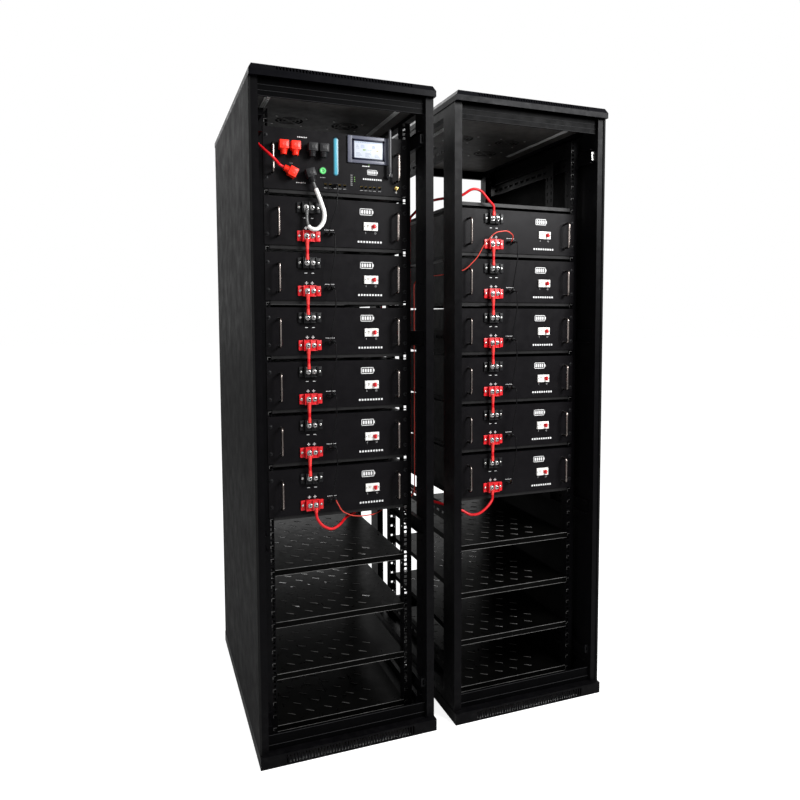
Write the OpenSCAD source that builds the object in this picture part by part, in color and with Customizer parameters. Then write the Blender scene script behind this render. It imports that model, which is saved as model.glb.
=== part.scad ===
// Rack battery: two open 19-inch cabinets that stand side by side, twelve battery
// modules in series, one control box and the leads that join them.
// Millimetres, +Z up, the front faces -Y, origin on the floor at the middle of the pair.

/* [Cabinets] */
// Width of one cabinet
cab_w = 600; // [590:1:720]
// Depth of one cabinet
cab_d = 1030; // [860:5:1240]
// Height of the rack space in rack units
rack_units = 45; // [45:1:54]
// Gap between the two cabinets
cab_gap = 73; // [60:1:90]
// Height of the slotted base
base_h = 40; // [35:1:60]
// Height of the chamfered roof
roof_h = 35; // [30:1:45]
// Width of a corner post
post_w = 27; // [24:1:32]
// Depth of a corner post
post_d = 98; // [80:1:105]
// Setback of the posts behind the base's front edge
post_setback = 20; // [12:1:25]
// Height of the frame's top and bottom cross rails
cross_h = 51; // [40:1:60]
// Thickness of cabinet sheet metal
sheet_t = 1.5; // [1.2:0.1:2.5]

/* [Rack rails] */
// Clear opening between the rails
rack_open = 450; // [450:1:452]
// Width over the rack ears
rack_face = 482.6; // [482.6:0.1:483.4]
// Distance between the two columns of rail holes
hole_span = 465.1; // [465:0.1:465.2]
// Height of one rack unit
rack_u = 44.45; // [44.45]
// Side of a square rail hole
rail_hole = 9.5; // [9:0.1:9.8]
// Width of the rail's front flange
rail_w = 30; // [26:1:32]
// Depth of the rail
rail_d = 40; // [30:1:45]
// Distance from the cabinet's front edge to the equipment's front face
panel_y = 125; // [122:1:140]

/* [Battery modules] */
// Width of a module's body
battery_w = 440; // [430:1:442]
// Height of a module's body
battery_h = 155; // [150:1:160]
// Depth of a module's case
battery_d = 560; // [480:5:640]
// Thickness of front panels and ears
panel_t = 2.5; // [2:0.1:3]
// Rack units from one module to the next
bay_units = 4; // [4]
// Rack units between the two ear slots
ear_units = 2; // [2]
// Height of a shelf's folded lip
lip_h = 20; // [15:1:22]

/* [Front fittings] */
// Diameter of a handle's rod
handle_dia = 8; // [7:0.5:10]
// Reach of a handle from the panel
handle_reach = 35; // [30:1:40]
// Distance between a handle's legs
handle_span = 90; // [80:1:100]
// Depth of a terminal block
terminal_d = 12; // [10:0.5:14]
// Diameter of the power leads
lead_dia = 9.5; // [8:0.5:11]
// Diameter of the signal leads
comm_dia = 4; // [3:0.5:5]
// Half of a toggle's swing
toggle_lean = 25; // [15:1:30]

/* [Control box] */
// Height of the control box
control_h = 193; // [190:1:200]
// Depth of the control box's case
control_d = 400; // [300:5:480]
// Size of a right-angle connector's body
connector_w = 29.5; // [28:0.5:30]
// Length of the antenna's mast
mast_len = 153; // [130:1:170]

/* [Hidden] */
$fn = 48;

// Working clearances
cut = 1;                    // how far a cutting shape runs past what it cuts
fit = 0.5;                  // gap round a piece that passes through a panel
run = 0.3;                  // gap between two bodies that move on each other
seam = 0.02;                // face-to-face joint between two pieces of one kind

// Cabinet heights and places
frame_z0 = base_h;
rail_z0 = base_h + cross_h + 0.5;
rail_len = rack_units * rack_u;
frame_z1 = rail_z0 + rail_len + cross_h + 9.25;
cab_h = frame_z1 + roof_h;
cab_x = [-(cab_w + cab_gap) / 2, (cab_w + cab_gap) / 2];
panel_back = panel_y + panel_t;
rail_rear_y = cab_d - panel_back;
bay_shift = 6.35 + rack_u - battery_h / 2;
mid = cab_w / 2;
post_x = sheet_t + 0.5;
skin_y = post_setback - 4;
brace_h = 50;
brace_w = mid - rack_open / 2 - rail_w - post_x - post_w;
BRACE_UNITS = [0.5, 13.4, 28, 42.9];
shelf_w = rack_open;
BAYS = 6;
FIRST_BAY = 4;
CONTROL_BAY = 10;

function bay_z(n) = rail_z0 + n * bay_units * rack_u + bay_shift;
function battery_z(k) = bay_z(FIRST_BAY + BAYS - k);

// Places on a module's front, from its middle and its foot
handle_x = 200;
handle_z = 28;
block_x = -99.5;
block_w = 76;
block_h = 40;
minus_z = 122;
plus_z = 31;
bolt_x = [-108, -89];
bolt_r = 4;
screw_x = [-131, -69];
breaker_x = 111;
breaker_z = 71.5;
breaker_w = 48;
breaker_h = 27;
breaker_d = 66;
breaker_out = 6;
toggle_slot = [36, 10];
pivot_in = 8;
port_x = [-38, -22];
port_z = 42;
port_size = 13;
case_t = 1.5;

// Places on the control box's front, from its middle and its foot
control_z = bay_z(CONTROL_BAY);
CONTROL_HANDLES = [-215, 203];
control_handle_z = 48;
bezel_size = [142, 88];
bezel_at = [104, 145];
bezel_out = 7;
screen_size = [104, 58];
button_at = [-50, 67];
button_r = 10;
button_travel = 3;
strip_at = [-5.5, 116];
strip_size = [16, 123];
antenna_at = [175.5, 64];
antenna_out = 18;
stud_at = [203, 27];
UPPER_X = [-180, -142.5, -87.5, -51];
upper_z = 134;
// Each lower plug's place and the turn of its sleeve from straight down
LOWER_AT = [[-153.5, 52.5, 115.5], [-95, 52.5, -18.4]];
socket_r = 14;
socket_t = 5;
connector_d = 30;
sleeve_r = 10;
PORT_ROW = [
    [-41, 23], [-25, 23], [-9, 23], [7, 23], [23, 23], [81, 22.5], [96, 22.5], [111, 22.5], [126, 22.5], [144, 22.5]
];

// Outer shapes of a cabinet are drawn with x from 0 to cab_w and y from 0 to cab_d
module at_cabinet(side) {
    translate([cab_x[side] - cab_w / 2, -cab_d / 2, 0]) children();
}
// A piece mirrored across the cabinet's middle plane
module both_hands() {
    children();
    translate([cab_w, 0, 0]) mirror([1, 0, 0]) children();
}
// A piece mirrored from the front to the rear
module front_and_rear() {
    children();
    translate([0, cab_d, 0]) mirror([0, 1, 0]) children();
}
module box(low, high) {
    translate(low) cube(high - low);
}
// Rod that lies along y
module y_rod(x, z, y0, y1, r) {
    translate([x, y0, z]) rotate([-90, 0, 0]) cylinder(h = y1 - y0, r = r);
}
module z_rod(x, y, z0, z1, r) {
    translate([x, y, z0]) cylinder(h = z1 - z0, r = r);
}
// Places of the twelve modules and of the boxes' origins: middle of the front face, at the foot
module at_battery(side, k) {
    at_cabinet(side) translate([mid, panel_y, battery_z(k)]) children();
}
module each_battery() {
    for (side = [0, 1])
        for (k = [1 : BAYS])
            at_battery(side, k) children();
}
module at_control() {
    at_cabinet(0) translate([mid, panel_y, control_z]) children();
}

// ---- cabinet ----
slot_pitch = 10;
slot_w = 5;
slot_count = floor((cab_w - 160) / slot_pitch);
slot_x0 = mid - (slot_count - 1) * slot_pitch / 2;
anchor_inset = [50, 65];
anchor_r = 7;
foot_size = 90;
foot_t = 3;

module vent_slots(y0, y1, z0, z1) {
    for (i = [0 : slot_count - 1]) translate([slot_x0 + i * slot_pitch, 0, 0])
        box([-slot_w / 2, y0, z0], [slot_w / 2, y1, z1]);
}
module base() {
    color("#1c1c1e") {
        difference() {
            box([0, 0, 0], [cab_w, cab_d, base_h]);
            box([2, 2, -cut], [cab_w - 2, cab_d - 2, base_h - 2]);
            vent_slots(-cut, 2 + cut, 6, base_h - 7);
        }
        both_hands() front_and_rear() difference() {
            box([2, 2, 0], [foot_size, foot_size, foot_t]);
            z_rod(anchor_inset[0], anchor_inset[1], -cut, foot_t + cut, anchor_r);
        }
    }
}
module left_base() { at_cabinet(0) base(); }
module right_base() { at_cabinet(1) base(); }

// Profile of the roof: upright skirt, then a steep chamfer; inset makes the inner shape
chamfer_in = 9;
skirt_h = 18.5;
module roof_prism(span, length, inset) {
    linear_extrude(height = length) polygon([
        [inset, -cut * inset], [span - inset, -cut * inset], [span - inset, skirt_h],
        [span - inset - chamfer_in, roof_h - inset], [inset + chamfer_in, roof_h - inset], [inset, skirt_h]
    ]);
}
module roof_block(inset) {
    intersection() {
        translate([0, cab_d, 0]) rotate([90, 0, 0]) roof_prism(cab_w, cab_d, inset);
        rotate([90, 0, 90]) roof_prism(cab_d, cab_w, inset);
    }
}
module roof() {
    color("#202022") both_hands() front_and_rear()
        box([sheet_t, sheet_t, frame_z1], [post_x + post_w, post_setback + 40, frame_z1 + sheet_t]);
    color("#202022") translate([0, 0, frame_z1]) difference() {
        roof_block(0);
        roof_block(sheet_t);
        vent_slots(-cut, chamfer_in + cut, skirt_h + 3, roof_h - 3);
    }
}
module left_roof() { at_cabinet(0) roof(); }
module right_roof() { at_cabinet(1) roof(); }

// Ceiling sheet under the roof, punched for four fans
fan_pitch = 204;
fan_holes = 105;
ceiling_z = frame_z1 - 17;
FAN_RINGS = [[12, 21], [26, 35], [40, 49]];
module fan_cut() {
    difference() {
        for (ring = FAN_RINGS) difference() {
            circle(r = ring[1]);
            circle(r = ring[0]);
        }
        for (a = [45, 135]) rotate(a) square([2 * fan_holes, 7], center = true);
    }
    for (x = [-1, 1], y = [-1, 1]) translate([x, y] * fan_holes / 2) circle(r = 2.5);
}
module ceiling() {
    x0 = post_x + post_w;
    color("#3a3836") translate([0, 0, ceiling_z]) linear_extrude(height = sheet_t) difference() {
        translate([x0, post_setback + 20]) square([cab_w - 2 * x0, cab_d - 2 * (post_setback + 20)]);
        translate([mid, cab_d / 2]) for (x = [-1, 1], y = [-1, 1]) translate([x, y] * fan_pitch / 2) fan_cut();
    }
}
module ceiling_panels() { for (side = [0, 1]) at_cabinet(side) ceiling(); }

// Corner posts are closed tubes, punched on the inner face once for each bay, and the cross
// rails butt between them
post_hole_r = 3.5;
module corner_post() {
    difference() {
        box([post_x, post_setback, frame_z0], [post_x + post_w, post_setback + post_d, frame_z1]);
        box([post_x + sheet_t, post_setback + sheet_t, frame_z0 - cut],
            [post_x + post_w - sheet_t, post_setback + post_d - sheet_t, frame_z1 + cut]);
        for (n = [0 : CONTROL_BAY])
            translate([post_x + post_w - sheet_t - cut, post_setback + post_d / 2, bay_z(n) + bay_units * rack_u / 3])
                rotate([0, 90, 0]) cylinder(h = sheet_t + 2 * cut, r = post_hole_r);
    }
}
module cross_rail(z0, z1) {
    x0 = post_x + post_w + seam;
    box([x0, post_setback, z0], [cab_w - x0, post_setback + 20, z1]);
}
module end_frame() {
    color("#2a2a2d") {
        both_hands() corner_post();
        cross_rail(frame_z0, frame_z0 + cross_h);
        cross_rail(frame_z1 - cross_h, frame_z1);
    }
}
module front_frames() { for (side = [0, 1]) at_cabinet(side) end_frame(); }
module rear_frames() {
    for (side = [0, 1]) at_cabinet(side) translate([0, cab_d, 0]) mirror([0, 1, 0]) end_frame();
}

// Side panel: a sheet on the outer face with a return at the front and the rear
module side_panel() {
    color("#242627") {
        box([0, skin_y, frame_z0 + 1], [sheet_t, cab_d - skin_y, frame_z1 - 1]);
        front_and_rear() box([sheet_t, skin_y, frame_z0 + 1], [7, skin_y + sheet_t, frame_z1 - 1]);
    }
}
module left_side_panel() { at_cabinet(0) side_panel(); }
module right_side_panel() { at_cabinet(1) translate([cab_w, 0, 0]) mirror([1, 0, 0]) side_panel(); }

// Rack rail: flange with square holes, punched side flange and an outer return, standing on
// the base. The front rails have three holes in each unit, and the rear rails the middle one
UNIT_HOLES = [6.35, 22.225, 38.1];
MIDDLE_HOLE = [22.225];
rail_t = 2;
rail_x0 = mid - rack_open / 2 - rail_w;
rail_foot = rail_z0 - base_h - run;
hole_x = mid - hole_span / 2;
side_hole_r = 4;
module rail_flange(holes) {
    translate([0, panel_back + rail_t, rail_z0]) rotate([90, 0, 0]) linear_extrude(height = rail_t) difference() {
        translate([rail_x0, -rail_foot]) square([rail_w, rail_foot + rail_len]);
        for (n = [0 : rack_units - 1], h = holes)
            translate([hole_x - rail_hole / 2, n * rack_u + h - rail_hole / 2]) square(rail_hole);
    }
}
module rail_side() {
    translate([mid - rack_open / 2 - rail_t, panel_back + rail_t, rail_z0])
        rotate([90, 0, 90]) linear_extrude(height = rail_t) difference() {
            translate([0, -rail_foot]) square([rail_d - rail_t, rail_foot + rail_len]);
            for (n = [0 : rack_units - 1]) translate([rail_d / 2, (n + 0.5) * rack_u]) circle(r = side_hole_r);
        }
}
module rail(holes) {
    color("#232326") {
        rail_flange(holes);
        rail_side();
        box([rail_x0, panel_back + rail_t, rail_z0 - rail_foot],
            [rail_x0 + rail_t, panel_back + rail_d, rail_z0 + rail_len]);
    }
}
module rack_rails() {
    for (side = [0, 1]) at_cabinet(side) both_hands() {
        rail(UNIT_HOLES);
        translate([0, cab_d, 0]) mirror([0, 1, 0]) rail(MIDDLE_HOLE);
    }
}

// Braces run from the front posts to the rear posts and carry the rails
brace_t = 2;
brace_y = post_setback + 25;
BRACE_SLOT = [30, 10];
brace_slot_pitch = 50;
brace_slot_count = floor((cab_d - 2 * (brace_y + 120)) / brace_slot_pitch);
module brace(z) {
    x0 = post_x + post_w;
    y0 = cab_d / 2 - (brace_slot_count - 1) * brace_slot_pitch / 2 - BRACE_SLOT[0] / 2;
    difference() {
        box([x0, brace_y, z], [x0 + brace_w, cab_d - brace_y, z + brace_h]);
        box([x0 + brace_t, brace_y - cut, z + brace_t],
            [x0 + brace_w + cut, cab_d - brace_y + cut, z + brace_h - brace_t]);
        for (i = [0 : brace_slot_count - 1])
            translate([x0 - cut, y0 + i * brace_slot_pitch, z + (brace_h - BRACE_SLOT[1]) / 2])
                cube([brace_t + 2 * cut, BRACE_SLOT[0], BRACE_SLOT[1]]);
    }
}
member_h = 30;
module side_member(z0, z1) {
    box([post_x, post_setback + post_d, z0], [post_x + post_w, cab_d - post_setback - post_d, z1]);
}
module side_braces() {
    color("#252528") for (side = [0, 1]) at_cabinet(side) both_hands() {
        for (n = BRACE_UNITS) brace(rail_z0 + n * rack_u);
        side_member(frame_z0, frame_z0 + member_h);
        side_member(frame_z1 - member_h, frame_z1);
    }
}

// Perforated strip for cable ties, on the braces at the right cabinet's outer side
strip_y = 300;
strip_w = 60;
strip_t = 2;
TIE_SLOT = [8, 16];
tie_pitch = 29;
module cable_strip() {
    z0 = rail_z0 + BRACE_UNITS[1] * rack_u;
    z1 = rail_z0 + BRACE_UNITS[3] * rack_u + brace_h;
    rows = floor((z1 - z0 - tie_pitch) / tie_pitch);
    x0 = cab_w - post_x - post_w - brace_w;
    color("#2b2b2e") at_cabinet(1) translate([x0 - strip_t, 0, 0]) rotate([90, 0, 90])
        linear_extrude(height = strip_t) difference() {
            translate([strip_y, z0]) square([strip_w, z1 - z0]);
            for (i = [0 : rows - 1], y = [strip_y + strip_w / 4, strip_y + strip_w * 3 / 4])
                translate([y - TIE_SLOT[0] / 2, z0 + (tie_pitch + TIE_SLOT[0]) / 2 + i * tie_pitch]) square(TIE_SLOT);
        }
}

// Shelves: a sheet with a lip folded down all round
SHELF_SLOT = [30, 5];
slot_turn = -38;
SHELF_PITCH = [64, 62];
shelf_margin = 56;
slot_rows = floor((rail_rear_y - panel_y - 2 * shelf_margin) / SHELF_PITCH[1]) + 1;
slots_in_row = floor((shelf_w - 2 * shelf_margin - SHELF_PITCH[0] / 2) / SHELF_PITCH[0]) + 1;
module shelf(z, slotted) {
    x0 = mid - shelf_w / 2;
    y1 = rail_rear_y + panel_t;
    difference() {
        box([x0, panel_y, z - lip_h], [x0 + shelf_w, y1, z]);
        box([x0 + sheet_t, panel_y + sheet_t, z - lip_h - cut],
            [x0 + shelf_w - sheet_t, y1 - sheet_t, z - sheet_t]);
        if (slotted) for (row = [0 : slot_rows - 1], i = [0 : slots_in_row - 1])
            translate([x0 + shelf_margin + (i + (row % 2) / 2) * SHELF_PITCH[0],
                       panel_y + shelf_margin + row * SHELF_PITCH[1], z - sheet_t / 2])
                rotate([0, 0, slot_turn]) cube([SHELF_SLOT[0], SHELF_SLOT[1], 3 * sheet_t], center = true);
    }
}
module battery_shelves() {
    color("#2c2b2b") for (side = [0, 1]) at_cabinet(side)
        for (n = [FIRST_BAY : CONTROL_BAY]) shelf(bay_z(n), false);
}
module spare_shelves() {
    color("#2c2b2b") for (side = [0, 1]) at_cabinet(side)
        for (n = [0 : FIRST_BAY - 1]) shelf(bay_z(n), true);
}

// Strikes for the door locks, on the posts' inner faces
STRIKE = [12, 4, 30];
strike_units = [1.2, 43.1];
module door_strikes() {
    x1 = cab_w - post_x - post_w;
    color("#b9b9b4") for (side = [0, 1]) at_cabinet(side) for (n = strike_units)
        translate([x1 - STRIKE[0], post_setback + 20, rail_z0 + n * rack_u]) difference() {
            cube(STRIKE);
            translate([STRIKE[0] / 3, -cut, STRIKE[2] / 5])
                cube([STRIKE[0] / 2, STRIKE[1] + 2 * cut, STRIKE[2] * 3 / 5]);
        }
}

// ---- battery modules ----
module battery_cases() {
    color("#19191b") each_battery() difference() {
        box([-battery_w / 2, panel_t, 0], [battery_w / 2, panel_t + battery_d, battery_h]);
        box([-battery_w / 2 + case_t, panel_t - cut, case_t],
            [battery_w / 2 - case_t, panel_t + battery_d - case_t, battery_h - case_t]);
    }
}
module terminal_holes(z) {
    for (x = bolt_x) y_rod(x, z, -cut, panel_t + cut, bolt_r + fit);
    for (x = screw_x) y_rod(x, z, -cut, panel_t + cut, 2.5);
}
module battery_panels() {
    color("#3b3b3e") each_battery() difference() {
        box([-battery_w / 2, 0, 0], [battery_w / 2, panel_t, battery_h]);
        terminal_holes(minus_z);
        terminal_holes(plus_z);
        box([breaker_x - breaker_w / 2 - fit, -cut, breaker_z - breaker_h / 2 - fit],
            [breaker_x + breaker_w / 2 + fit, panel_t + cut, breaker_z + breaker_h / 2 + fit]);
        for (x = port_x)
            box([x - port_size / 2 - fit, -cut, port_z - port_size / 2 - fit],
                [x + port_size / 2 + fit, panel_t + cut, port_z + port_size / 2 + fit]);
    }
}
// L-shaped ear at the left of a box: slotted face and a leg on the case
ear_slot = [10, 7];
function slot_z(m) = 6.35 + m * rack_u - bay_shift;
BATTERY_SLOTS = [slot_z(0), slot_z(ear_units)];
CONTROL_SLOTS = [slot_z(0), slot_z(3)];
module ear(height, slots) {
    difference() {
        box([-rack_face / 2, 0, 0], [-battery_w / 2, panel_t, height]);
        for (z = slots) translate([-hole_span / 2, -cut, z]) {
            box([-ear_slot[0] / 2 + ear_slot[1] / 2, 0, -ear_slot[1] / 2],
                [ear_slot[0] / 2 - ear_slot[1] / 2, panel_t + 2 * cut, ear_slot[1] / 2]);
            for (e = [-1, 1]) y_rod(e * (ear_slot[0] - ear_slot[1]) / 2, 0, 0, panel_t + 2 * cut, ear_slot[1] / 2);
        }
    }
    box([-battery_w / 2 - 2, panel_t, 0], [-battery_w / 2, 32, height]);
}
module rack_ears() {
    color("#343437") {
        each_battery() for (m = [0, 1]) mirror([m, 0, 0]) ear(battery_h, BATTERY_SLOTS);
        at_control() for (m = [0, 1]) mirror([m, 0, 0]) ear(control_h, CONTROL_SLOTS);
    }
}
// Rack screws: a pan head on the ear and a shank through the slot and the rail hole
screw_r = 2.9;
module rack_screw(z) {
    y_rod(-hole_span / 2, z, -3.2, 0, 5.5);
    y_rod(-hole_span / 2, z, 0, 14, screw_r);
}
module rack_screws() {
    color("#8f9092") {
        each_battery() for (m = [0, 1], z = BATTERY_SLOTS) mirror([m, 0, 0]) rack_screw(z);
        at_control() for (m = [0, 1], z = CONTROL_SLOTS) mirror([m, 0, 0]) rack_screw(z);
    }
}
// Bent-rod handle, standing on the panel at y 0: two bent legs and the grip between them
bend_r = 10;
module handle(x, z) {
    r = handle_dia / 2;
    out = -handle_reach + r;
    z_rod(x, out, z + bend_r + seam, z + handle_span - bend_r - seam, r);
    for (m = [0, 1]) translate([x, 0, z + m * handle_span]) mirror([0, 0, m]) {
        y_rod(0, 0, out + bend_r, 0, r);
        translate([0, out + bend_r, bend_r]) rotate([0, 90, 0]) rotate(-90)
            rotate_extrude(angle = 90) translate([bend_r, 0]) circle(r = r);
    }
}
module handles() {
    color("#c9c5c0") {
        each_battery() for (s = [-1, 1]) handle(s * handle_x, handle_z);
        at_control() for (x = CONTROL_HANDLES) handle(x, control_handle_z);
    }
}
// Terminal block: a body with two bolt towers, raised ribs and two fixing ears
module terminal(z) {
    difference() {
        union() {
            box([block_x - block_w / 2, -5, z - block_h / 2 + 6], [block_x + block_w / 2, 0, z + block_h / 2 - 6]);
            box([block_x - 22, -terminal_d, z - block_h / 2], [block_x + 22, 0, z + block_h / 2]);
            for (s = [-1, 1]) box([block_x + s * 22 - (s > 0 ? 2 : 0), -terminal_d - 5, z - block_h / 2],
                                  [block_x + s * 22 + (s > 0 ? 0 : 2), -terminal_d, z + block_h / 2]);
        }
        for (x = bolt_x) y_rod(x, z, -terminal_d - cut, cut, bolt_r);
        for (x = screw_x) y_rod(x, z, -5 - cut, cut, 2);
    }
}
module negative_terminals() { color("#17171a") each_battery() terminal(minus_z); }
module positive_terminals() { color("#e02a22") each_battery() terminal(plus_z); }
// Terminal bolts: hex head, washer where no lug lies, and a shank into the case
lug_t = 2.5;
module terminal_bolt(x, z, washer) {
    y0 = -terminal_d;
    translate([x, y0 - lug_t, z]) rotate([90, 0, 0]) cylinder(h = 5.5, r = 7, $fn = 6);
    if (washer) difference() {
        y_rod(x, z, y0 - lug_t, y0, 8);
        y_rod(x, z, y0 - lug_t - cut, y0 + cut, bolt_r);
    }
    y_rod(x, z, y0 - lug_t, 20, bolt_r);
}
module fixing_screw(x, z) {
    y_rod(x, z, -7.5, -5, 4.5);
    y_rod(x, z, -5, 12, 2);
}
function lug_on(side, k, plus, b) = (plus && k == BAYS && side == 0) ? b == 1 : b == 0;
module terminal_bolts() {
    color("#b4b6b8") for (side = [0, 1], k = [1 : BAYS]) at_battery(side, k) for (plus = [false, true]) {
        z = plus ? plus_z : minus_z;
        for (b = [0, 1]) terminal_bolt(bolt_x[b], z, !lug_on(side, k, plus, b));
        for (x = screw_x) fixing_screw(x, z);
    }
}
// Breaker body with the slot that its toggle swings in
module breaker_bodies() {
    color("#e6e4df") each_battery() difference() {
        box([breaker_x - breaker_w / 2, -breaker_out, breaker_z - breaker_h / 2],
            [breaker_x + breaker_w / 2, breaker_d - breaker_out, breaker_z + breaker_h / 2]);
        box([breaker_x - toggle_slot[0] / 2, -breaker_out - cut, breaker_z - toggle_slot[1] / 2],
            [breaker_x + toggle_slot[0] / 2, pivot_in + 9, breaker_z + toggle_slot[1] / 2]);
    }
}
// Toggle, drawn upright on its pivot and leaned to its stop
toggle_r = 7;
toggle_len = 25;
module toggle(index) {
    side = index > BAYS ? 1 : 0;
    k = index - side * BAYS;
    h = toggle_slot[1] / 2 - run;
    color("#d8202a") at_battery(side, k) translate([breaker_x, pivot_in, breaker_z]) rotate([0, 0, toggle_lean]) {
        z_rod(0, 0, -h, h, toggle_r);
        box([-3, -toggle_len, -h], [3, 0, h]);
        box([-3.6, -toggle_len - 2, -h], [3.6, -toggle_len, h]);
    }
}
module port_shell(x, z, w, h, d) {
    difference() {
        box([x - w / 2, -1.5, z - h / 2], [x + w / 2, d, z + h / 2]);
        box([x - w / 2 + 1.2, -1.5 - cut, z - h / 2 + 1.2], [x + w / 2 - 1.2, d - 3, z + h / 2 - 1.2]);
    }
}
module battery_ports() { color("#77797c") each_battery() for (x = port_x) port_shell(x, port_z, port_size, port_size, 16); }

// Cells: two rows of eight prismatic cells on the case's floor
CELL = [159, 49.5, 118];
CELL_ROWS = 2;
CELLS_PER_ROW = 8;
cell_pitch = 50;
cell_y0 = 110;
cell_row_x = 82;
module battery_cells() {
    color("#3f6f9f") each_battery() for (row = [0 : CELL_ROWS - 1], i = [0 : CELLS_PER_ROW - 1])
        translate([(row * 2 - 1) * cell_row_x, panel_t + cell_y0 + (i + 0.5) * cell_pitch, case_t + CELL[2] / 2])
            cube(CELL, center = true);
}
// One bus-bar frame lies along the top of each row of cells
module busbar_frames() {
    z0 = case_t + CELL[2];
    y0 = panel_t + cell_y0 + 10;
    color("#c98f5a") each_battery() for (row = [0 : CELL_ROWS - 1]) translate([(row * 2 - 1) * cell_row_x, y0, z0])
        linear_extrude(height = 3) difference() {
            translate([-60, 0]) square([120, CELLS_PER_ROW * cell_pitch - 20]);
            translate([-32, 20]) square([64, CELLS_PER_ROW * cell_pitch - 60]);
        }
}
module bms_boards() {
    color("#1f5d3a") each_battery() {
        box([-80, panel_t + 88, case_t], [150, panel_t + 90, 120]);
        box([-70, panel_t + 80, 60], [-30, panel_t + 88, 100]);
        box([20, panel_t + 80, 30], [70, panel_t + 88, 70]);
    }
}

// ---- control box ----
module control_case() {
    color("#19191b") at_control() difference() {
        box([-battery_w / 2, panel_t, 0], [battery_w / 2, panel_t + control_d, control_h]);
        box([-battery_w / 2 + case_t, panel_t - cut, case_t],
            [battery_w / 2 - case_t, panel_t + control_d - case_t, control_h - case_t]);
    }
}
module control_panel() {
    color("#2b2b2e") at_control() difference() {
        box([-battery_w / 2, 0, 0], [battery_w / 2, panel_t, control_h]);
        y_rod(button_at[0], button_at[1], -cut, panel_t + cut, button_r + 2 + fit);
        box([strip_at[0] - strip_size[0] / 2, -cut, strip_at[1] - strip_size[1] / 2],
            [strip_at[0] + strip_size[0] / 2, panel_t + cut, strip_at[1] + strip_size[1] / 2]);
        y_rod(stud_at[0], stud_at[1], -cut, panel_t + cut, 3 + fit);
        for (x = UPPER_X) y_rod(x, upper_z, -cut, panel_t + cut, 8 + fit);
        for (p = LOWER_AT) y_rod(p[0], p[1], -cut, panel_t + cut, 8 + fit);
        for (p = PORT_ROW) box([p[0] - port_size / 2 - fit, -cut, p[1] - port_size / 2 - fit],
                               [p[0] + port_size / 2 + fit, panel_t + cut, p[1] + port_size / 2 + fit]);
        box([bezel_at[0] - 62, -cut, bezel_at[1] - 36], [bezel_at[0] + 62, panel_t + cut, bezel_at[1] + 36]);
    }
}
// Two contactors, the fuse between them and the controller's board
module control_internals() {
    color("#4a4d52") at_control() {
        for (x = [-140, -60]) {
            box([x - 28, 120, case_t], [x + 28, 190, 80]);
            for (s = [-1, 1]) z_rod(x + s * 14, 155, 80, 96, 5);
        }
        box([-24, 130, case_t], [24, 260, 40]);
        box([40, 90, case_t], [42, 290, 140]);
        box([42, 110, 40], [54, 160, 100]);
    }
}
module display_bezel() {
    color("#6a707c") at_control() difference() {
        union() {
            box([bezel_at[0] - bezel_size[0] / 2, -bezel_out, bezel_at[1] - bezel_size[1] / 2],
                [bezel_at[0] + bezel_size[0] / 2, 0, bezel_at[1] + bezel_size[1] / 2]);
            box([bezel_at[0] - 61, 0, bezel_at[1] - 35], [bezel_at[0] + 61, 30, bezel_at[1] + 35]);
        }
        box([bezel_at[0] - screen_size[0] / 2, -bezel_out - cut, bezel_at[1] - screen_size[1] / 2],
            [bezel_at[0] + screen_size[0] / 2, -bezel_out + 3, bezel_at[1] + screen_size[1] / 2]);
    }
}
module display_screen() {
    color("#dfe9f5") at_control() box([bezel_at[0] - screen_size[0] / 2 + 0.2, -bezel_out + 1, bezel_at[1] - screen_size[1] / 2 + 0.2],
                                      [bezel_at[0] + screen_size[0] / 2 - 0.2, -bezel_out + 3, bezel_at[1] + screen_size[1] / 2 - 0.2]);
}
module light_strip() {
    r = strip_size[0] / 2;
    z0 = strip_at[1] - strip_size[1] / 2;
    z1 = strip_at[1] + strip_size[1] / 2;
    color("#45c6dc") at_control() {
        box([strip_at[0] - r, -2, z0 + r], [strip_at[0] + r, panel_t, z1 - r]);
        for (z = [z0 + r, z1 - r]) y_rod(strip_at[0], z, -2, panel_t, r);
    }
}
module button_housing() {
    color("#9fa3a6") at_control() difference() {
        union() {
            y_rod(button_at[0], button_at[1], -3, 0, button_r + 5);
            y_rod(button_at[0], button_at[1], 0, 26, button_r + 2);
        }
        y_rod(button_at[0], button_at[1], -3 - cut, 20, button_r + run);
    }
}
module push_button() {
    color("#7ddc86") at_control() y_rod(button_at[0], button_at[1], -3 - button_travel, 20 - button_travel - run, button_r);
}
// Antenna: a swivelling knuckle on the panel and a mast that tilts in its fork
knuckle_r = 6;
module antenna_base() {
    color("#2a2a2c") at_control() translate([antenna_at[0], 0, antenna_at[1]]) {
        y_rod(0, 0, -10, -run, knuckle_r);
        difference() {
            box([-knuckle_r, -antenna_out - 6, -knuckle_r], [knuckle_r, -10, knuckle_r]);
            box([-2.5, -antenna_out - 6 - cut, -knuckle_r - cut], [2.5, -12, knuckle_r + cut]);
        }
    }
}
module antenna_mast() {
    color("#2f2f31") at_control() translate([antenna_at[0], -antenna_out, antenna_at[1]]) {
        translate([-2.5 + run, 0, 0]) rotate([0, 90, 0]) cylinder(h = 5 - 2 * run, r = 4.5);
        box([-2.5 + run, -3, 0], [2.5 - run, 3, 10]);
        z_rod(0, 0, 9.5, 24, 5);
        z_rod(0, 0, 24, mast_len, 5.3);
    }
}
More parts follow.
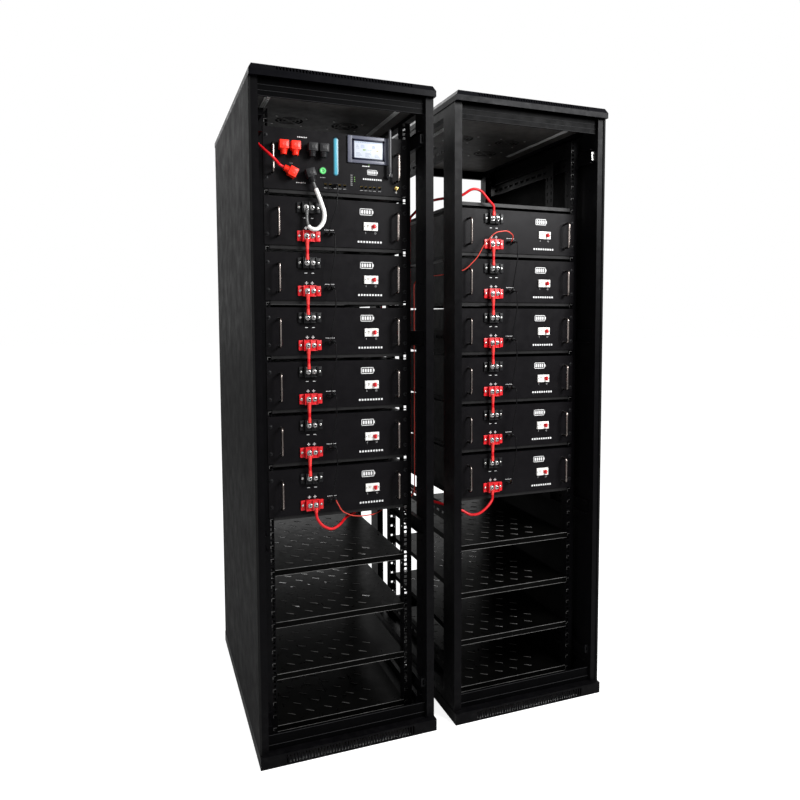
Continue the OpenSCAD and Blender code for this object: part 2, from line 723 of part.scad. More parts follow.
// Sockets stand on the panel; a right-angle connector turns on each upper one
module connector_sockets() {
    color("#39393c") at_control() for (p = concat([for (x = UPPER_X) [x, upper_z]], LOWER_AT)) {
        y_rod(p[0], p[1], -socket_t, 0, socket_r);
        y_rod(p[0], p[1], 0, 22, 8);
    }
}
module connector_shell(tip) {
    w = connector_w / 2;
    y0 = -socket_t - run - connector_d;
    y1 = -socket_t - run;
    rotate([90, 0, 0]) translate([0, 0, -y1]) linear_extrude(height = connector_d) polygon([
        [-w, -9], [-w + 3, -12], [w - 3, -12], [w, -9], [w, w - 3], [w - 3, w], [-w + 3, w], [-w, w - 3]
    ]);
    translate([0, (y0 + y1) / 2, -12]) mirror([0, 0, 1]) cylinder(h = tip, r = sleeve_r);
}
sleeve_len = 17;
module connector(n, paint) {
    color(paint) at_control() translate([UPPER_X[n], 0, upper_z]) connector_shell(sleeve_len);
}
module red_connector_1() { connector(0, "#ef2f26"); }
module red_connector_2() { connector(1, "#ef2f26"); }
module black_connector_1() { connector(2, "#222224"); }
module black_connector_2() { connector(3, "#222224"); }
// Two plugged connectors, each turned towards its lead
module module_plugs() {
    color("#ef2f26") at_control() for (p = LOWER_AT)
        translate([p[0], run, p[1]]) rotate([0, p[2], 0]) connector_shell(sleeve_len);
}
module control_ports() {
    color("#77797c") at_control() for (p = PORT_ROW) port_shell(p[0], p[1], port_size, port_size, 16);
}
module earth_stud() {
    color("#c9a227") at_control() {
        y_rod(stud_at[0], stud_at[1], -16, 12, 3);
        difference() {
            translate([stud_at[0], 0, stud_at[1]]) rotate([90, 0, 0]) cylinder(h = 5, r = 6.5, $fn = 6);
            y_rod(stud_at[0], stud_at[1], -5 - cut, cut, 3);
        }
    }
}

// ---- leads ----
// Routes run through hand-chosen points, with each corner rounded
unit_min = 0.001;
function unit(v) = v / max(norm(v), unit_min);
function corner(a, b, c, r, n) =
    let (d = min(r, norm(a - b) * 0.49, norm(c - b) * 0.49), p = b + unit(a - b) * d, q = b + unit(c - b) * d)
    [for (i = [0 : n]) let (t = i / n) (1 - t) * (1 - t) * p + 2 * t * (1 - t) * b + t * t * q];
function smooth(route, r, n) = concat(
    [route[0]],
    [for (i = [1 : len(route) - 2]) each corner(route[i - 1], route[i], route[i + 1], r, n)],
    [route[len(route) - 1]]
);
function tangent(path, i) = unit(path[min(i + 1, len(path) - 1)] - path[max(i - 1, 0)]);
function square_to(v, t) = unit(v - (v * t) * t);
// Each ring's first direction follows on from the ring before, so that the tube doesn't twist
function carried(path, i, v, done) =
    i == len(path) ? done
    : let (w = square_to(v, tangent(path, i))) carried(path, i + 1, w, concat(done, [w]));
module tube(path, r, sides) {
    first = abs(tangent(path, 0) * [0, 1, 0]) > 0.9 ? [1, 0, 0] : [0, 1, 0];
    across = carried(path, 0, first, []);
    rings = len(path);
    points = [for (i = [0 : rings - 1]) let (u = across[i], w = cross(tangent(path, i), u))
        for (s = [0 : sides - 1]) path[i] + r * (cos(s * 360 / sides) * u + sin(s * 360 / sides) * w)];
    walls = [for (i = [0 : rings - 2], s = [0 : sides - 1])
        let (a = i * sides + s, b = i * sides + (s + 1) % sides) each [[a, a + sides, b + sides], [a, b + sides, b]]];
    ends = [[for (s = [0 : sides - 1]) s], [for (s = [sides - 1 : -1 : 0]) (rings - 1) * sides + s]];
    polyhedron(points, concat(walls, ends), convexity = 10);
}

// Routes in the part's own frame
LEAD_IN_ROUTE = [
    [-422.25, -410, 1867.5], [-417.4, -410, 1853], [-404, -424, 1812], [-390, -427, 1768], [-394, -427, 1736],
    [-417, -424, 1713], [-440, -416, 1720], [-444.5, -408, 1742], [-444.5, -407.5, 1762]
];
LEAD_OUT_ROUTE = [
    [-516.5, -410, 1907.9], [-530.6, -410, 1914.7], [-552, -436, 1929], [-576, -429, 1950], [-593, -412, 1970],
    [-600, -392, 1984],
    [-618, -366, 1986], [-620, -300, 1986], [-620, 245, 1986], [14, 245, 1986], [14, 245, 762],
    [14, -330, 762], [40, -366, 758], [74, -392, 747], [112, -400, 733], [135, -410, 716],
    [168, -420, 718], [205, -418, 742], [228.5, -409, 765], [228.5, -407.5, 782]
];
LEAD_ACROSS_ROUTE = [
    [-425.5, -407.5, 782], [-425, -411, 765], [-410, -416, 740], [-376, -412, 719], [-340, -390, 728],
    [-310, -352, 742], [-250, -290, 744], [-150, -200, 744], [-60, -190, 746], [-14, -190, 780],
    [-14, -190, 1800], [5, -300, 1845], [40, -366, 1850], [74, -392, 1852], [104, -405, 1858],
    [138, -420, 1884], [172, -420, 1880], [206, -415, 1846], [228.5, -409, 1830], [228.5, -407.5, 1812]
];
SIGNAL_ACROSS_ROUTE = [
    [-358.5, -410, 818], [-357, -422, 812], [-340, -418, 780], [-300, -400, 757], [-262, -385, 748],
    [-212, -370, 746], [-150, -300, 746], [-60, -262, 748], [-20, -255, 780], [-20, -255, 1560],
    [0, -320, 1578], [40, -366, 1582], [74, -392, 1586], [120, -406, 1602], [160, -418, 1645],
    [184, -428, 1694], [222, -436, 1734], [272, -434, 1742], [298, -428, 1726], [298.5, -418, 1710],
    [298.5, -410, 1707]
];
// Places from a module's front, at its foot
SIGNAL_JUMP_ROUTE = [
    [-22, -20, 42], [-21, -36, 38], [-20, -38, -20], [-37, -38, -112], [-38, -33, -133], [-38, -20, -135.8]
];
SIGNAL_IN_ROUTE = [
    [-9, -20, 23], [-9, -36, 19], [-14, -40, -50], [-36, -38, -112], [-38, -33, -133], [-38, -20, -135.8]
];
barrel_r = 5.5;
barrel_len = 16;
lug_r = 9;
barrel_y = -terminal_d - barrel_r;
module lug(x, z, way) {
    difference() {
        y_rod(x, z, -terminal_d - lug_t, -terminal_d, lug_r);
        y_rod(x, z, -terminal_d - lug_t - cut, -terminal_d + cut, bolt_r);
    }
    translate([x, barrel_y, z + way * lug_r]) mirror([0, 0, way < 0 ? 1 : 0]) cylinder(h = barrel_len, r = barrel_r);
}
// Jumper from one module's positive bolt to the next module's negative bolt
module jumper() {
    step = bay_units * rack_u;
    z0 = minus_z - step + lug_r + barrel_len;
    z1 = plus_z - lug_r - barrel_len;
    lug(bolt_x[0], plus_z, -1);
    lug(bolt_x[0], minus_z - step, 1);
    z_rod(bolt_x[0], barrel_y, z0, z1, lead_dia / 2);
}
module power_leads() {
    color("#d8231f") {
        for (side = [0, 1], k = [1 : BAYS - 1]) at_battery(side, k) jumper();
        at_battery(0, 1) lug(bolt_x[0], minus_z, -1);
        at_battery(1, 1) lug(bolt_x[0], minus_z, 1);
        at_battery(0, BAYS) lug(bolt_x[1], plus_z, -1);
        at_battery(1, BAYS) lug(bolt_x[0], plus_z, -1);
        for (route = [LEAD_IN_ROUTE, LEAD_OUT_ROUTE, LEAD_ACROSS_ROUTE]) tube(smooth(route, 20, 2), lead_dia / 2, 8);
    }
}
module signal_plug(x, z) { box([x - 5, -20, z - 4], [x + 5, 9, z + 4]); }
module comm_leads() {
    color("#1c1c1d") {
        for (side = [0, 1], k = [1 : BAYS - 1]) at_battery(side, k) {
            tube(smooth(SIGNAL_JUMP_ROUTE, 16, 2), comm_dia / 2, 8);
            signal_plug(port_x[1], port_z);
            signal_plug(port_x[0], port_z - bay_units * rack_u);
        }
        at_control() {
            tube(smooth(SIGNAL_IN_ROUTE, 16, 2), comm_dia / 2, 8);
            signal_plug(PORT_ROW[2][0], PORT_ROW[2][1]);
            signal_plug(port_x[0], port_z - bay_units * rack_u);
        }
        at_battery(0, BAYS) signal_plug(port_x[1], port_z);
        at_battery(1, 1) signal_plug(port_x[0], port_z);
        tube(smooth(SIGNAL_ACROSS_ROUTE, 16, 2), comm_dia / 2, 8);
    }
}

module breaker_toggle_1() { toggle(1); }
module breaker_toggle_2() { toggle(2); }
module breaker_toggle_3() { toggle(3); }
module breaker_toggle_4() { toggle(4); }
module breaker_toggle_5() { toggle(5); }
module breaker_toggle_6() { toggle(6); }
module breaker_toggle_7() { toggle(7); }
module breaker_toggle_8() { toggle(8); }
module breaker_toggle_9() { toggle(9); }
module breaker_toggle_10() { toggle(10); }
module breaker_toggle_11() { toggle(11); }
module breaker_toggle_12() { toggle(12); }

left_base();
right_base();
left_roof();
right_roof();
ceiling_panels();
front_frames();
rear_frames();
left_side_panel();
right_side_panel();
rack_rails();
side_braces();
cable_strip();
battery_shelves();
spare_shelves();
door_strikes();
battery_cases();
battery_panels();
rack_ears();
rack_screws();
handles();
negative_terminals();
positive_terminals();
terminal_bolts();
breaker_bodies();
battery_ports();
battery_cells();
busbar_frames();
bms_boards();
breaker_toggle_1();
breaker_toggle_2();
breaker_toggle_3();
breaker_toggle_4();
breaker_toggle_5();
breaker_toggle_6();
breaker_toggle_7();
breaker_toggle_8();
breaker_toggle_9();
breaker_toggle_10();
breaker_toggle_11();
breaker_toggle_12();
control_case();
control_panel();
control_internals();
display_bezel();
display_screen();
light_strip();
push_button();
button_housing();
antenna_base();
antenna_mast();
connector_sockets();
red_connector_1();
red_connector_2();
black_connector_1();
black_connector_2();
module_plugs();
control_ports();
earth_stud();
power_leads();
comm_leads();
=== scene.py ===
import math

import bmesh
import bpy
import numpy as np
from mathutils import Euler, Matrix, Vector


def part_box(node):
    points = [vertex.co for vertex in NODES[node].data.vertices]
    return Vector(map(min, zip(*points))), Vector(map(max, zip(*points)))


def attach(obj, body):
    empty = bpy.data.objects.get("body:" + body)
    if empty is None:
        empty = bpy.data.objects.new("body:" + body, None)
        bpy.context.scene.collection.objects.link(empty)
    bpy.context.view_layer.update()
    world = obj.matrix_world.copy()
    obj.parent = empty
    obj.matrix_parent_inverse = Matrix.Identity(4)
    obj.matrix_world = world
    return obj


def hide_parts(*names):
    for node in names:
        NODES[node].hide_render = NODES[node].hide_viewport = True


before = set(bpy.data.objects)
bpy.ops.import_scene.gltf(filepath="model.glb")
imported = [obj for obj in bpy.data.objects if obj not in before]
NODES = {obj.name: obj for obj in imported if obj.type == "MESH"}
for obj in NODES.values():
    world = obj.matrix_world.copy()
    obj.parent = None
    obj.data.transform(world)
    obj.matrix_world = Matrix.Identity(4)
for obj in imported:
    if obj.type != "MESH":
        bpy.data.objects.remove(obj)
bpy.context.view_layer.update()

MM = 0.001
ROOT = "cabinets"


def box_mm(node):
    """Lowest and highest corner of a CAD node, in millimetres."""
    low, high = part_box(node)
    return np.array(low) / MM, np.array(high) / MM


# ---- places, all taken from the CAD nodes ----
PANELS = box_mm("battery_panels")
CONTROL = box_mm("control_panel")
MODULES = 6
PANEL_W, PANEL_H = 440.0, 155.0
FRONT = PANELS[0][1]
STEP = (PANELS[1][2] - PANELS[0][2] - PANEL_H) / (MODULES - 1)
SIDE_X = [PANELS[0][0] + PANEL_W / 2, PANELS[1][0] - PANEL_W / 2]
HOMES = [(side, k, np.array([SIDE_X[side], FRONT, PANELS[1][2] - PANEL_H - (k - 1) * STEP]))
         for side in (0, 1) for k in range(1, MODULES + 1)]
BOX_HOME = np.array([(CONTROL[0][0] + CONTROL[1][0]) / 2, CONTROL[0][1], CONTROL[0][2]])
BOX_H = CONTROL[1][2] - CONTROL[0][2]


def near(home, x, y, z):
    """A place set off from a home, in millimetres."""
    return home + np.array([x, y, z])


# ---- camera ----
cam_data = bpy.data.cameras.new("Camera")
camera = bpy.data.objects.new("Camera", cam_data)
bpy.context.scene.collection.objects.link(camera)
bpy.context.scene.camera = camera
camera.location = (-0.9557, -2.7810, 1.4286)
camera.rotation_euler = Euler((math.pi / 2 - 0.0700, 0.0, -0.3951), "XYZ")
cam_data.sensor_width = 36
cam_data.lens = 32.85
cam_data.shift_x = -0.0545
cam_data.shift_y = -0.0380
cam_data.clip_start = 0.05
cam_data.clip_end = 100


# ---- materials ----
def new_material(name):
    mat = bpy.data.materials.new(name)
    mat.use_nodes = True
    tree = mat.node_tree
    shader = tree.nodes["Principled BSDF"]
    return mat, tree, shader


def noise(tree, coords, scale, detail=3.0, rough=0.55, stretch=(1, 1, 1)):
    mapping = tree.nodes.new("ShaderNodeMapping")
    mapping.inputs["Scale"].default_value = stretch
    tree.links.new(coords, mapping.inputs["Vector"])
    node = tree.nodes.new("ShaderNodeTexNoise")
    node.inputs["Scale"].default_value = scale
    node.inputs["Detail"].default_value = detail
    node.inputs["Roughness"].default_value = rough
    tree.links.new(mapping.outputs["Vector"], node.inputs["Vector"])
    return node.outputs["Fac"]


def combined(tree, operation, first, second, clamp=False):
    """A maths node over two sockets."""
    node = tree.nodes.new("ShaderNodeMath")
    node.operation = operation
    node.use_clamp = clamp
    tree.links.new(first, node.inputs[0])
    tree.links.new(second, node.inputs[1])
    return node.outputs[0]


def spread(tree, value, low, high, start=0.3, end=0.7):
    node = tree.nodes.new("ShaderNodeMapRange")
    node.inputs["From Min"].default_value = start
    node.inputs["From Max"].default_value = end
    node.inputs["To Min"].default_value = low
    node.inputs["To Max"].default_value = high
    tree.links.new(value, node.inputs["Value"])
    return node.outputs["Result"]


def tint(tree, value, dark, light):
    ramp = tree.nodes.new("ShaderNodeValToRGB")
    ramp.color_ramp.elements[0].position = 0.32
    ramp.color_ramp.elements[1].position = 0.68
    ramp.color_ramp.elements[0].color = (*dark, 1)
    ramp.color_ramp.elements[1].color = (*light, 1)
    tree.links.new(value, ramp.inputs["Fac"])
    return ramp.outputs["Color"]


# pale tint for painted bounce light near the floor
BOUNCE_TINT = (0.16, 0.155, 0.15, 1)


def finish(name, color, rough, metal=0.0, spec=0.5, grain=900, bump=0.15, depth=0.0002, vary=0.18,
           rough_vary=0.08, blotch=16, stretch=(1, 1, 1), coat=0.0, bounce_paint=0.0, scratches=0.0):
    """A solid finish: grain in the bump, slow changes of colour and gloss, and, if asked, painted bounce light
    towards the floor and scratches.
    """
    mat, tree, shader = new_material(name)
    coords = tree.nodes.new("ShaderNodeTexCoord").outputs["Object"]
    slow = noise(tree, coords, blotch, 4)
    fine = noise(tree, coords, grain, 2, 0.6, stretch)
    base = np.array(color)
    out = tint(tree, slow, tuple(base * (1 - vary)), tuple(np.minimum(base * (1 + vary), 1)))
    # painted bounce light: lighter patches towards the floor, gone by 0.55 m up
    if bounce_paint:
        split = tree.nodes.new("ShaderNodeSeparateXYZ")
        tree.links.new(coords, split.inputs[0])
        low = spread(tree, split.outputs["Z"], bounce_paint, 0.0, 0.0, 0.55)
        speck = spread(tree, noise(tree, coords, 55, 5, 0.7), 0.0, 1.0, 0.45, 0.75)
        mix = tree.nodes.new("ShaderNodeMix")
        mix.data_type = "RGBA"
        mix.inputs["B"].default_value = BOUNCE_TINT
        tree.links.new(combined(tree, "MULTIPLY", low, speck), mix.inputs["Factor"])
        tree.links.new(out, mix.inputs["A"])
        out = mix.outputs["Result"]
    tree.links.new(out, shader.inputs["Base Color"])
    gloss = spread(tree, noise(tree, coords, blotch * 2.5, 5, 0.6), max(rough - rough_vary, 0.03),
                   min(rough + rough_vary, 1.0))
    if scratches:
        streak = noise(tree, coords, 70, 3, 0.7, (1, 0.05, 1))
        gloss = combined(tree, "ADD", gloss, spread(tree, streak, 0.0, -scratches, 0.6, 0.75), clamp=True)
    tree.links.new(gloss, shader.inputs["Roughness"])
    relief = tree.nodes.new("ShaderNodeBump")
    relief.inputs["Strength"].default_value = bump
    relief.inputs["Distance"].default_value = depth
    tree.links.new(fine, relief.inputs["Height"])
    tree.links.new(relief.outputs["Normal"], shader.inputs["Normal"])
    shader.inputs["Metallic"].default_value = metal
    shader.inputs["Specular IOR Level"].default_value = spec
    shader.inputs["Coat Weight"].default_value = coat
    return mat


def plastic(name, color, rough, spec, bump=0.25, vary=0.1):
    """Moulded plastic: a very fine, shallow grain."""
    return finish(name, color, rough, spec=spec, grain=2200, bump=bump, depth=0.0001, vary=vary)


def glowing(name, color, strength, edge=0.75, scale=120):
    """A lit surface with a slight mottle in its diffuser."""
    mat, tree, shader = new_material(name)
    coords = tree.nodes.new("ShaderNodeTexCoord").outputs["Object"]
    c = np.array(color)
    out = tint(tree, noise(tree, coords, scale, 3), tuple(c * edge), tuple(c))
    tree.links.new(out, shader.inputs["Emission Color"])
    shader.inputs["Emission Strength"].default_value = strength
    shader.inputs["Base Color"].default_value = (0.02, 0.02, 0.02, 1)
    shader.inputs["Roughness"].default_value = 0.3
    return mat


# the frame and side panel powders carry painted bounce light near the floor
FRAME_BLACK = finish("frame_powder", (0.0020, 0.0019, 0.0023), 0.36, spec=0.045, bump=0.3, bounce_paint=0.02)
ROOF_BLACK = finish("roof_powder", (0.0016, 0.0016, 0.0024), 0.36, spec=0.035, bump=0.3)
SIDE_BLACK = finish("side_powder", (0.0095, 0.0095, 0.0096), 0.50, spec=0.010, bump=0.35, vary=0.05,
                    bounce_paint=0.04, blotch=5)
SHELF_BLACK = finish("shelf_powder", (0.0012, 0.0012, 0.0011), 0.34, spec=0.022, bump=0.25, scratches=0.12)
# a lighter copy of the shelf powder for the lips' front faces: painted light
SHELF_LIP_LIT = finish("shelf_lip_painted_light", (0.0125, 0.0122, 0.0125), 0.36, spec=0.12, bump=0.25)
# near-white for the louvres on the dark ceilings: painted light
LOUVRE_LIGHT_PAINT = finish("louvre_painted_light", (0.74, 0.74, 0.73), 0.4, spec=0.4, bump=0.2)
# a darker copy of the frame powder for the cross rails: painted shade
FRAME_RAIL_SHADE = finish("frame_rail_painted_shade", (0.0014, 0.0014, 0.0016), 0.40, spec=0.016, bump=0.3)
# light greys for thin rods, lips and rims: painted highlights along folds, slot edges and rail holes
FOLD_HIGHLIGHT = finish("fold_painted_highlight", (0.016, 0.016, 0.017), 0.38, spec=0.2, bump=0.2)
EDGE_HIGHLIGHT = finish("edge_painted_highlight", (0.15, 0.148, 0.145), 0.4, spec=0.4, bump=0.2, vary=0.4, blotch=30)
# the ceiling's grey is raised well above the frame's black to stand in for light on it: painted light
CEILING_LIT_GREY = finish("ceiling_powder_painted_light", (0.095, 0.0900, 0.0860), 0.42, spec=0.06, bump=0.2)
CASE_BLACK = finish("case_powder", (0.0024, 0.0024, 0.0028), 0.38, spec=0.04, bump=0.25)
FACE_BLACK = finish("face_paint", (0.0042, 0.0038, 0.0045), 0.37, spec=0.065, grain=1300, bump=0.35, vary=0.1)
ZINC = finish("zinc_plate", (0.56, 0.56, 0.54), 0.36, metal=1, grain=500, bump=0.1, vary=0.12, rough_vary=0.12)
BLACK_ZINC = finish("black_zinc", (0.010, 0.010, 0.011), 0.40, metal=0.3, spec=0.15, grain=600, bump=0.1,
                    rough_vary=0.12)
POLISHED = finish("polished_rod", (0.23, 0.20, 0.185), 0.26, metal=1, grain=1500, bump=0.05, vary=0.05,
                  rough_vary=0.06, stretch=(1, 1, 0.04))
NICKEL = finish("nickel_plate", (0.46, 0.455, 0.45), 0.26, metal=1, grain=900, bump=0.06, vary=0.1,
                rough_vary=0.1)
BRASS = finish("brass", (0.78, 0.57, 0.2), 0.26, metal=1, grain=900, bump=0.06, vary=0.12, rough_vary=0.1)
GOLD = finish("contact_gold", (0.16, 0.11, 0.04), 0.3, metal=1, grain=900, bump=0.04)
COPPER = finish("copper_bar", (0.72, 0.38, 0.24), 0.3, metal=1, grain=500, bump=0.1, vary=0.2, rough_vary=0.12)
PLASTIC_BLACK = plastic("moulded_black", (0.0055, 0.0055, 0.0062), 0.42, 0.16)
PLASTIC_GREY = plastic("moulded_grey", (0.030, 0.030, 0.033), 0.42, 0.45)
CONNECTOR_BLACK = plastic("connector_black", (0.0105, 0.0105, 0.0115), 0.40, 0.2)
PLASTIC_RED = plastic("moulded_red", (0.62, 0.006, 0.012), 0.38, 0.4, 0.15, 0.08)
DARK_RED = plastic("moulded_dark_red", (0.20, 0.004, 0.006), 0.45, 0.3, 0.15, 0.08)
ORANGE_RED = plastic("plug_red", (0.86, 0.022, 0.006), 0.34, 0.4, 0.15, 0.06)
PLASTIC_WHITE = plastic("moulded_white", (0.78, 0.77, 0.74), 0.35, 0.5, 0.1, 0.03)
PORT_METAL = finish("port_shell", (0.014, 0.014, 0.015), 0.35, spec=0.2, grain=1200, bump=0.1, rough_vary=0.1)
CELL_BLUE = finish("cell_film", (0.02, 0.09, 0.25), 0.3, spec=0.5, grain=300, bump=0.15, coat=0.3)
BOARD_GREEN = finish("board_mask", (0.01, 0.09, 0.04), 0.35, spec=0.5, grain=700, bump=0.2, vary=0.3)
DEVICE_GREY = finish("device_shell", (0.05, 0.052, 0.057), 0.45, grain=900, bump=0.15)
BEZEL_BLUE = finish("bezel_blue_grey", (0.080, 0.084, 0.112), 0.36, spec=0.25, grain=1800, bump=0.12, vary=0.06)
BEZEL_DARK = finish("bezel_dark", (0.006, 0.008, 0.020), 0.38, spec=0.08, grain=1800, bump=0.05, vary=0.1)
RED_CABLE = finish("lead_red_jacket", (0.55, 0.005, 0.010), 0.40, spec=0.3, grain=700, bump=0.12, vary=0.08)
RED_SHRINK = finish("shrink_red", (0.74, 0.035, 0.032), 0.46, spec=0.35, grain=260, bump=0.5, depth=0.0004,
                    vary=0.12, blotch=60)
BLACK_CABLE = finish("lead_black_jacket", (0.0035, 0.0035, 0.004), 0.36, spec=0.10, grain=700, bump=0.12)
GREY_CABLE = finish("lead_grey_tail", (0.085, 0.085, 0.085), 0.42, spec=0.4, grain=700, bump=0.15)
WHITE_SLEEVE = finish("sleeve_white", (0.80, 0.79, 0.77), 0.5, spec=0.35, grain=330, bump=0.4, depth=0.0004,
                      vary=0.05, blotch=80)
PINK_CABLE = finish("signal_red_jacket", (0.50, 0.045, 0.030), 0.42, spec=0.4, grain=700, bump=0.1)
INK = finish("printed_ink", (0.62, 0.62, 0.62), 0.6, spec=0.2, grain=1500, bump=0.15, vary=0.12, blotch=200)
INK_DIM = finish("printed_ink_dim", (0.30, 0.30, 0.30), 0.6, spec=0.2, grain=1500, bump=0.15, vary=0.2,
                 blotch=200)
# black for painted shade in recesses, holes and slots, and for the print on the push button
SHADE_AND_PRINT_BLACK = finish("painted_shade_and_print_black", (0.002, 0.002, 0.002), 0.8, spec=0.05, bump=0.1)
CYAN_GLOW = glowing("strip_glow", (0.03, 0.40, 0.56), 1.15, 0.9)
CYAN_RIM = glowing("strip_rim", (0.012, 0.16, 0.23), 0.9, 0.8)
GREEN_GLOW = glowing("button_glow", (0.12, 0.86, 0.20), 1.0, 0.8)
GREEN_LED = glowing("led_green", (0.25, 0.6, 0.1), 0.9)
SCREEN_BASE = glowing("screen_lit", (0.80, 0.86, 0.97), 0.98, 0.94, 60)
SCREEN_BAR = glowing("screen_bar", (0.60, 0.70, 0.90), 0.9, 0.95)
SCREEN_TEXT = glowing("screen_grey", (0.38, 0.45, 0.62), 0.8, 0.9)
SCREEN_GREEN, SCREEN_AMBER, SCREEN_BLUE = [
    glowing(name, color, 0.85, 0.9) for name, color in (
        ("screen_green", (0.42, 0.62, 0.22)), ("screen_amber", (0.70, 0.62, 0.38)),
        ("screen_blue", (0.10, 0.25, 0.72)))]


# ---- shapes: every maker returns (vertices in millimetres, faces) ----
def from_bmesh(bm):
    bm.verts.ensure_lookup_table()
    v = np.array([x.co[:] for x in bm.verts], float)
    f = [[x.index for x in face.verts] for face in bm.faces]
    bm.free()
    return v, f


def rbox(low, high, r=0.6, n=2):
    """Box with rounded edges."""
    low, high = np.array(low, float), np.array(high, float)
    bm = bmesh.new()
    bmesh.ops.create_cube(bm, size=1.0)
    for v in bm.verts:
        v.co = Vector((low + high) / 2 + np.array(v.co[:]) * (high - low))
    r = min(r, float((high - low).min()) * 0.45)
    if r > 0:
        bmesh.ops.bevel(bm, geom=bm.edges[:], offset=r, segments=n, profile=0.5, affect="EDGES")
    return from_bmesh(bm)


def extruded(outline, y0, y1, r=0.0, n=2):
    """Outline of (x, z) points pushed from y0, the front, to y1, with the front edge rounded."""
    bm = bmesh.new()
    front = [bm.verts.new((x, y0, z)) for x, z in outline]
    back = [bm.verts.new((x, y1, z)) for x, z in outline]
    face = bm.faces.new(front)
    bm.faces.new(back[::-1])
    for i in range(len(front)):
        j = (i + 1) % len(front)
        bm.faces.new([front[j], front[i], back[i], back[j]])
    bmesh.ops.recalc_face_normals(bm, faces=bm.faces[:])
    if r:
        bmesh.ops.bevel(bm, geom=list(face.edges), offset=r, segments=n, profile=0.5, affect="EDGES")
    return from_bmesh(bm)


def turned(profile, n=24, axis="y"):
    """Body of revolution of (radius, height along the axis) points."""
    v, f, rings = [], [], []
    for r, h in profile:
        if r < 1e-6:
            rings.append([len(v)])
            v.append((0, h, 0))
            continue
        rings.append(list(range(len(v), len(v) + n)))
        for i in range(n):
            a = 2 * math.pi * i / n
            v.append((r * math.cos(a), h, r * math.sin(a)))
    for a, b in zip(rings, rings[1:]):
        if len(a) == 1 and len(b) == 1:
            continue
        for i in range(n):
            j = (i + 1) % n
            if len(a) == 1:
                f.append([a[0], b[i], b[j]])
            elif len(b) == 1:
                f.append([a[i], b[0], a[j]])
            else:
                f.append([a[i], b[i], b[j], a[j]])
    v = np.array(v, float)
    if axis == "z":
        v = v[:, [0, 2, 1]]
        f = [q[::-1] for q in f]
    if axis == "x":
        v = v[:, [1, 0, 2]]
        f = [q[::-1] for q in f]
    return v, f


def cap_rod(r, y0, y1, edge=0.5, n=24, axis="y"):
    """Round bar with chamfered ends."""
    return turned([(0, y0), (r - edge, y0), (r, y0 + edge), (r, y1 - edge), (r - edge, y1), (0, y1)], n, axis)


def swept(points, r, n=12, scale=None):
    """Round tube along points, with closed ends."""
    p = np.array(points, float)
    t = np.gradient(p, axis=0)
    t /= np.linalg.norm(t, axis=1)[:, None]
    side = np.cross(t[0], [0.0, 1.0, 0.0])
    if np.linalg.norm(side) < 0.1:
        side = np.cross(t[0], [1.0, 0.0, 0.0])
    side /= np.linalg.norm(side)
    v, f = [], []
    for i, (point, tangent) in enumerate(zip(p, t)):
        side = side - tangent * (side @ tangent)
        side /= np.linalg.norm(side)
        up = np.cross(tangent, side)
        ring = r * (1 if scale is None else scale[i])
        for s in range(n):
            a = 2 * math.pi * s / n
            v.append(point + ring * (math.cos(a) * side + math.sin(a) * up))
    for i in range(len(p) - 1):
        for s in range(n):
            q = (s + 1) % n
            f.append([i * n + s, i * n + q, (i + 1) * n + q, (i + 1) * n + s])
    f.append(list(range(n))[::-1])
    f.append([(len(p) - 1) * n + s for s in range(n)])
    return np.array(v), f


def arc(cx, cz, r, a0, a1, n=14):
    return [(cx + r * math.cos(math.radians(a0 + (a1 - a0) * i / n)),
             cz + r * math.sin(math.radians(a0 + (a1 - a0) * i / n))) for i in range(n + 1)]


def rounded(x0, z0, x1, z1, r, n=5):
    """Outline of a rectangle with round corners."""
    return (arc(x1 - r, z1 - r, r, 0, 90, n) + arc(x0 + r, z1 - r, r, 90, 180, n)
            + arc(x0 + r, z0 + r, r, 180, 270, n) + arc(x1 - r, z0 + r, r, 270, 360, n))


def moved(shape, by):
    """The shape set off by a step in millimetres."""
    return shape[0] + np.array(by, float), shape[1]


def spin(degrees, axis="y"):
    return np.array(Euler([math.radians(degrees) if a == axis else 0 for a in "xyz"]).to_matrix())


class Piece:
    """Gathers shapes in object millimetres and makes one mesh object of them."""

    def __init__(self, name, mats):
        self.name, self.mats = name, mats
        self.v, self.f, self.m, self.count = [], [], [], 0

    def add(self, shape, at=(0, 0, 0), mat=None, turn=None, about=None):
        v, f = shape
        if turn is not None:
            pivot = np.array(about if about is not None else (0, 0, 0), float)
            v = (v - pivot) @ turn.T + pivot
        v = v + np.array(at, float)
        slot = 0 if mat is None else self.mats.index(mat)
        self.v.append(v * MM)
        self.f += [[i + self.count for i in q] for q in f]
        self.m += [slot] * len(f)
        self.count += len(v)

    def make(self, body=ROOT, replaces=(), slot=None, angle=38):
        mesh = bpy.data.meshes.new(self.name)
        mesh.from_pydata(np.concatenate(self.v).tolist(), [], self.f)
        for mat in self.mats:
            mesh.materials.append(mat)
        mesh.polygons.foreach_set("material_index", self.m)
        mesh.shade_smooth()
        mesh.set_sharp_from_angle(angle=math.radians(angle))
        obj = bpy.data.objects.new(self.name, mesh)
        bpy.context.scene.collection.objects.link(obj)
        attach(obj, body)
        if replaces:
            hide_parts(*replaces)


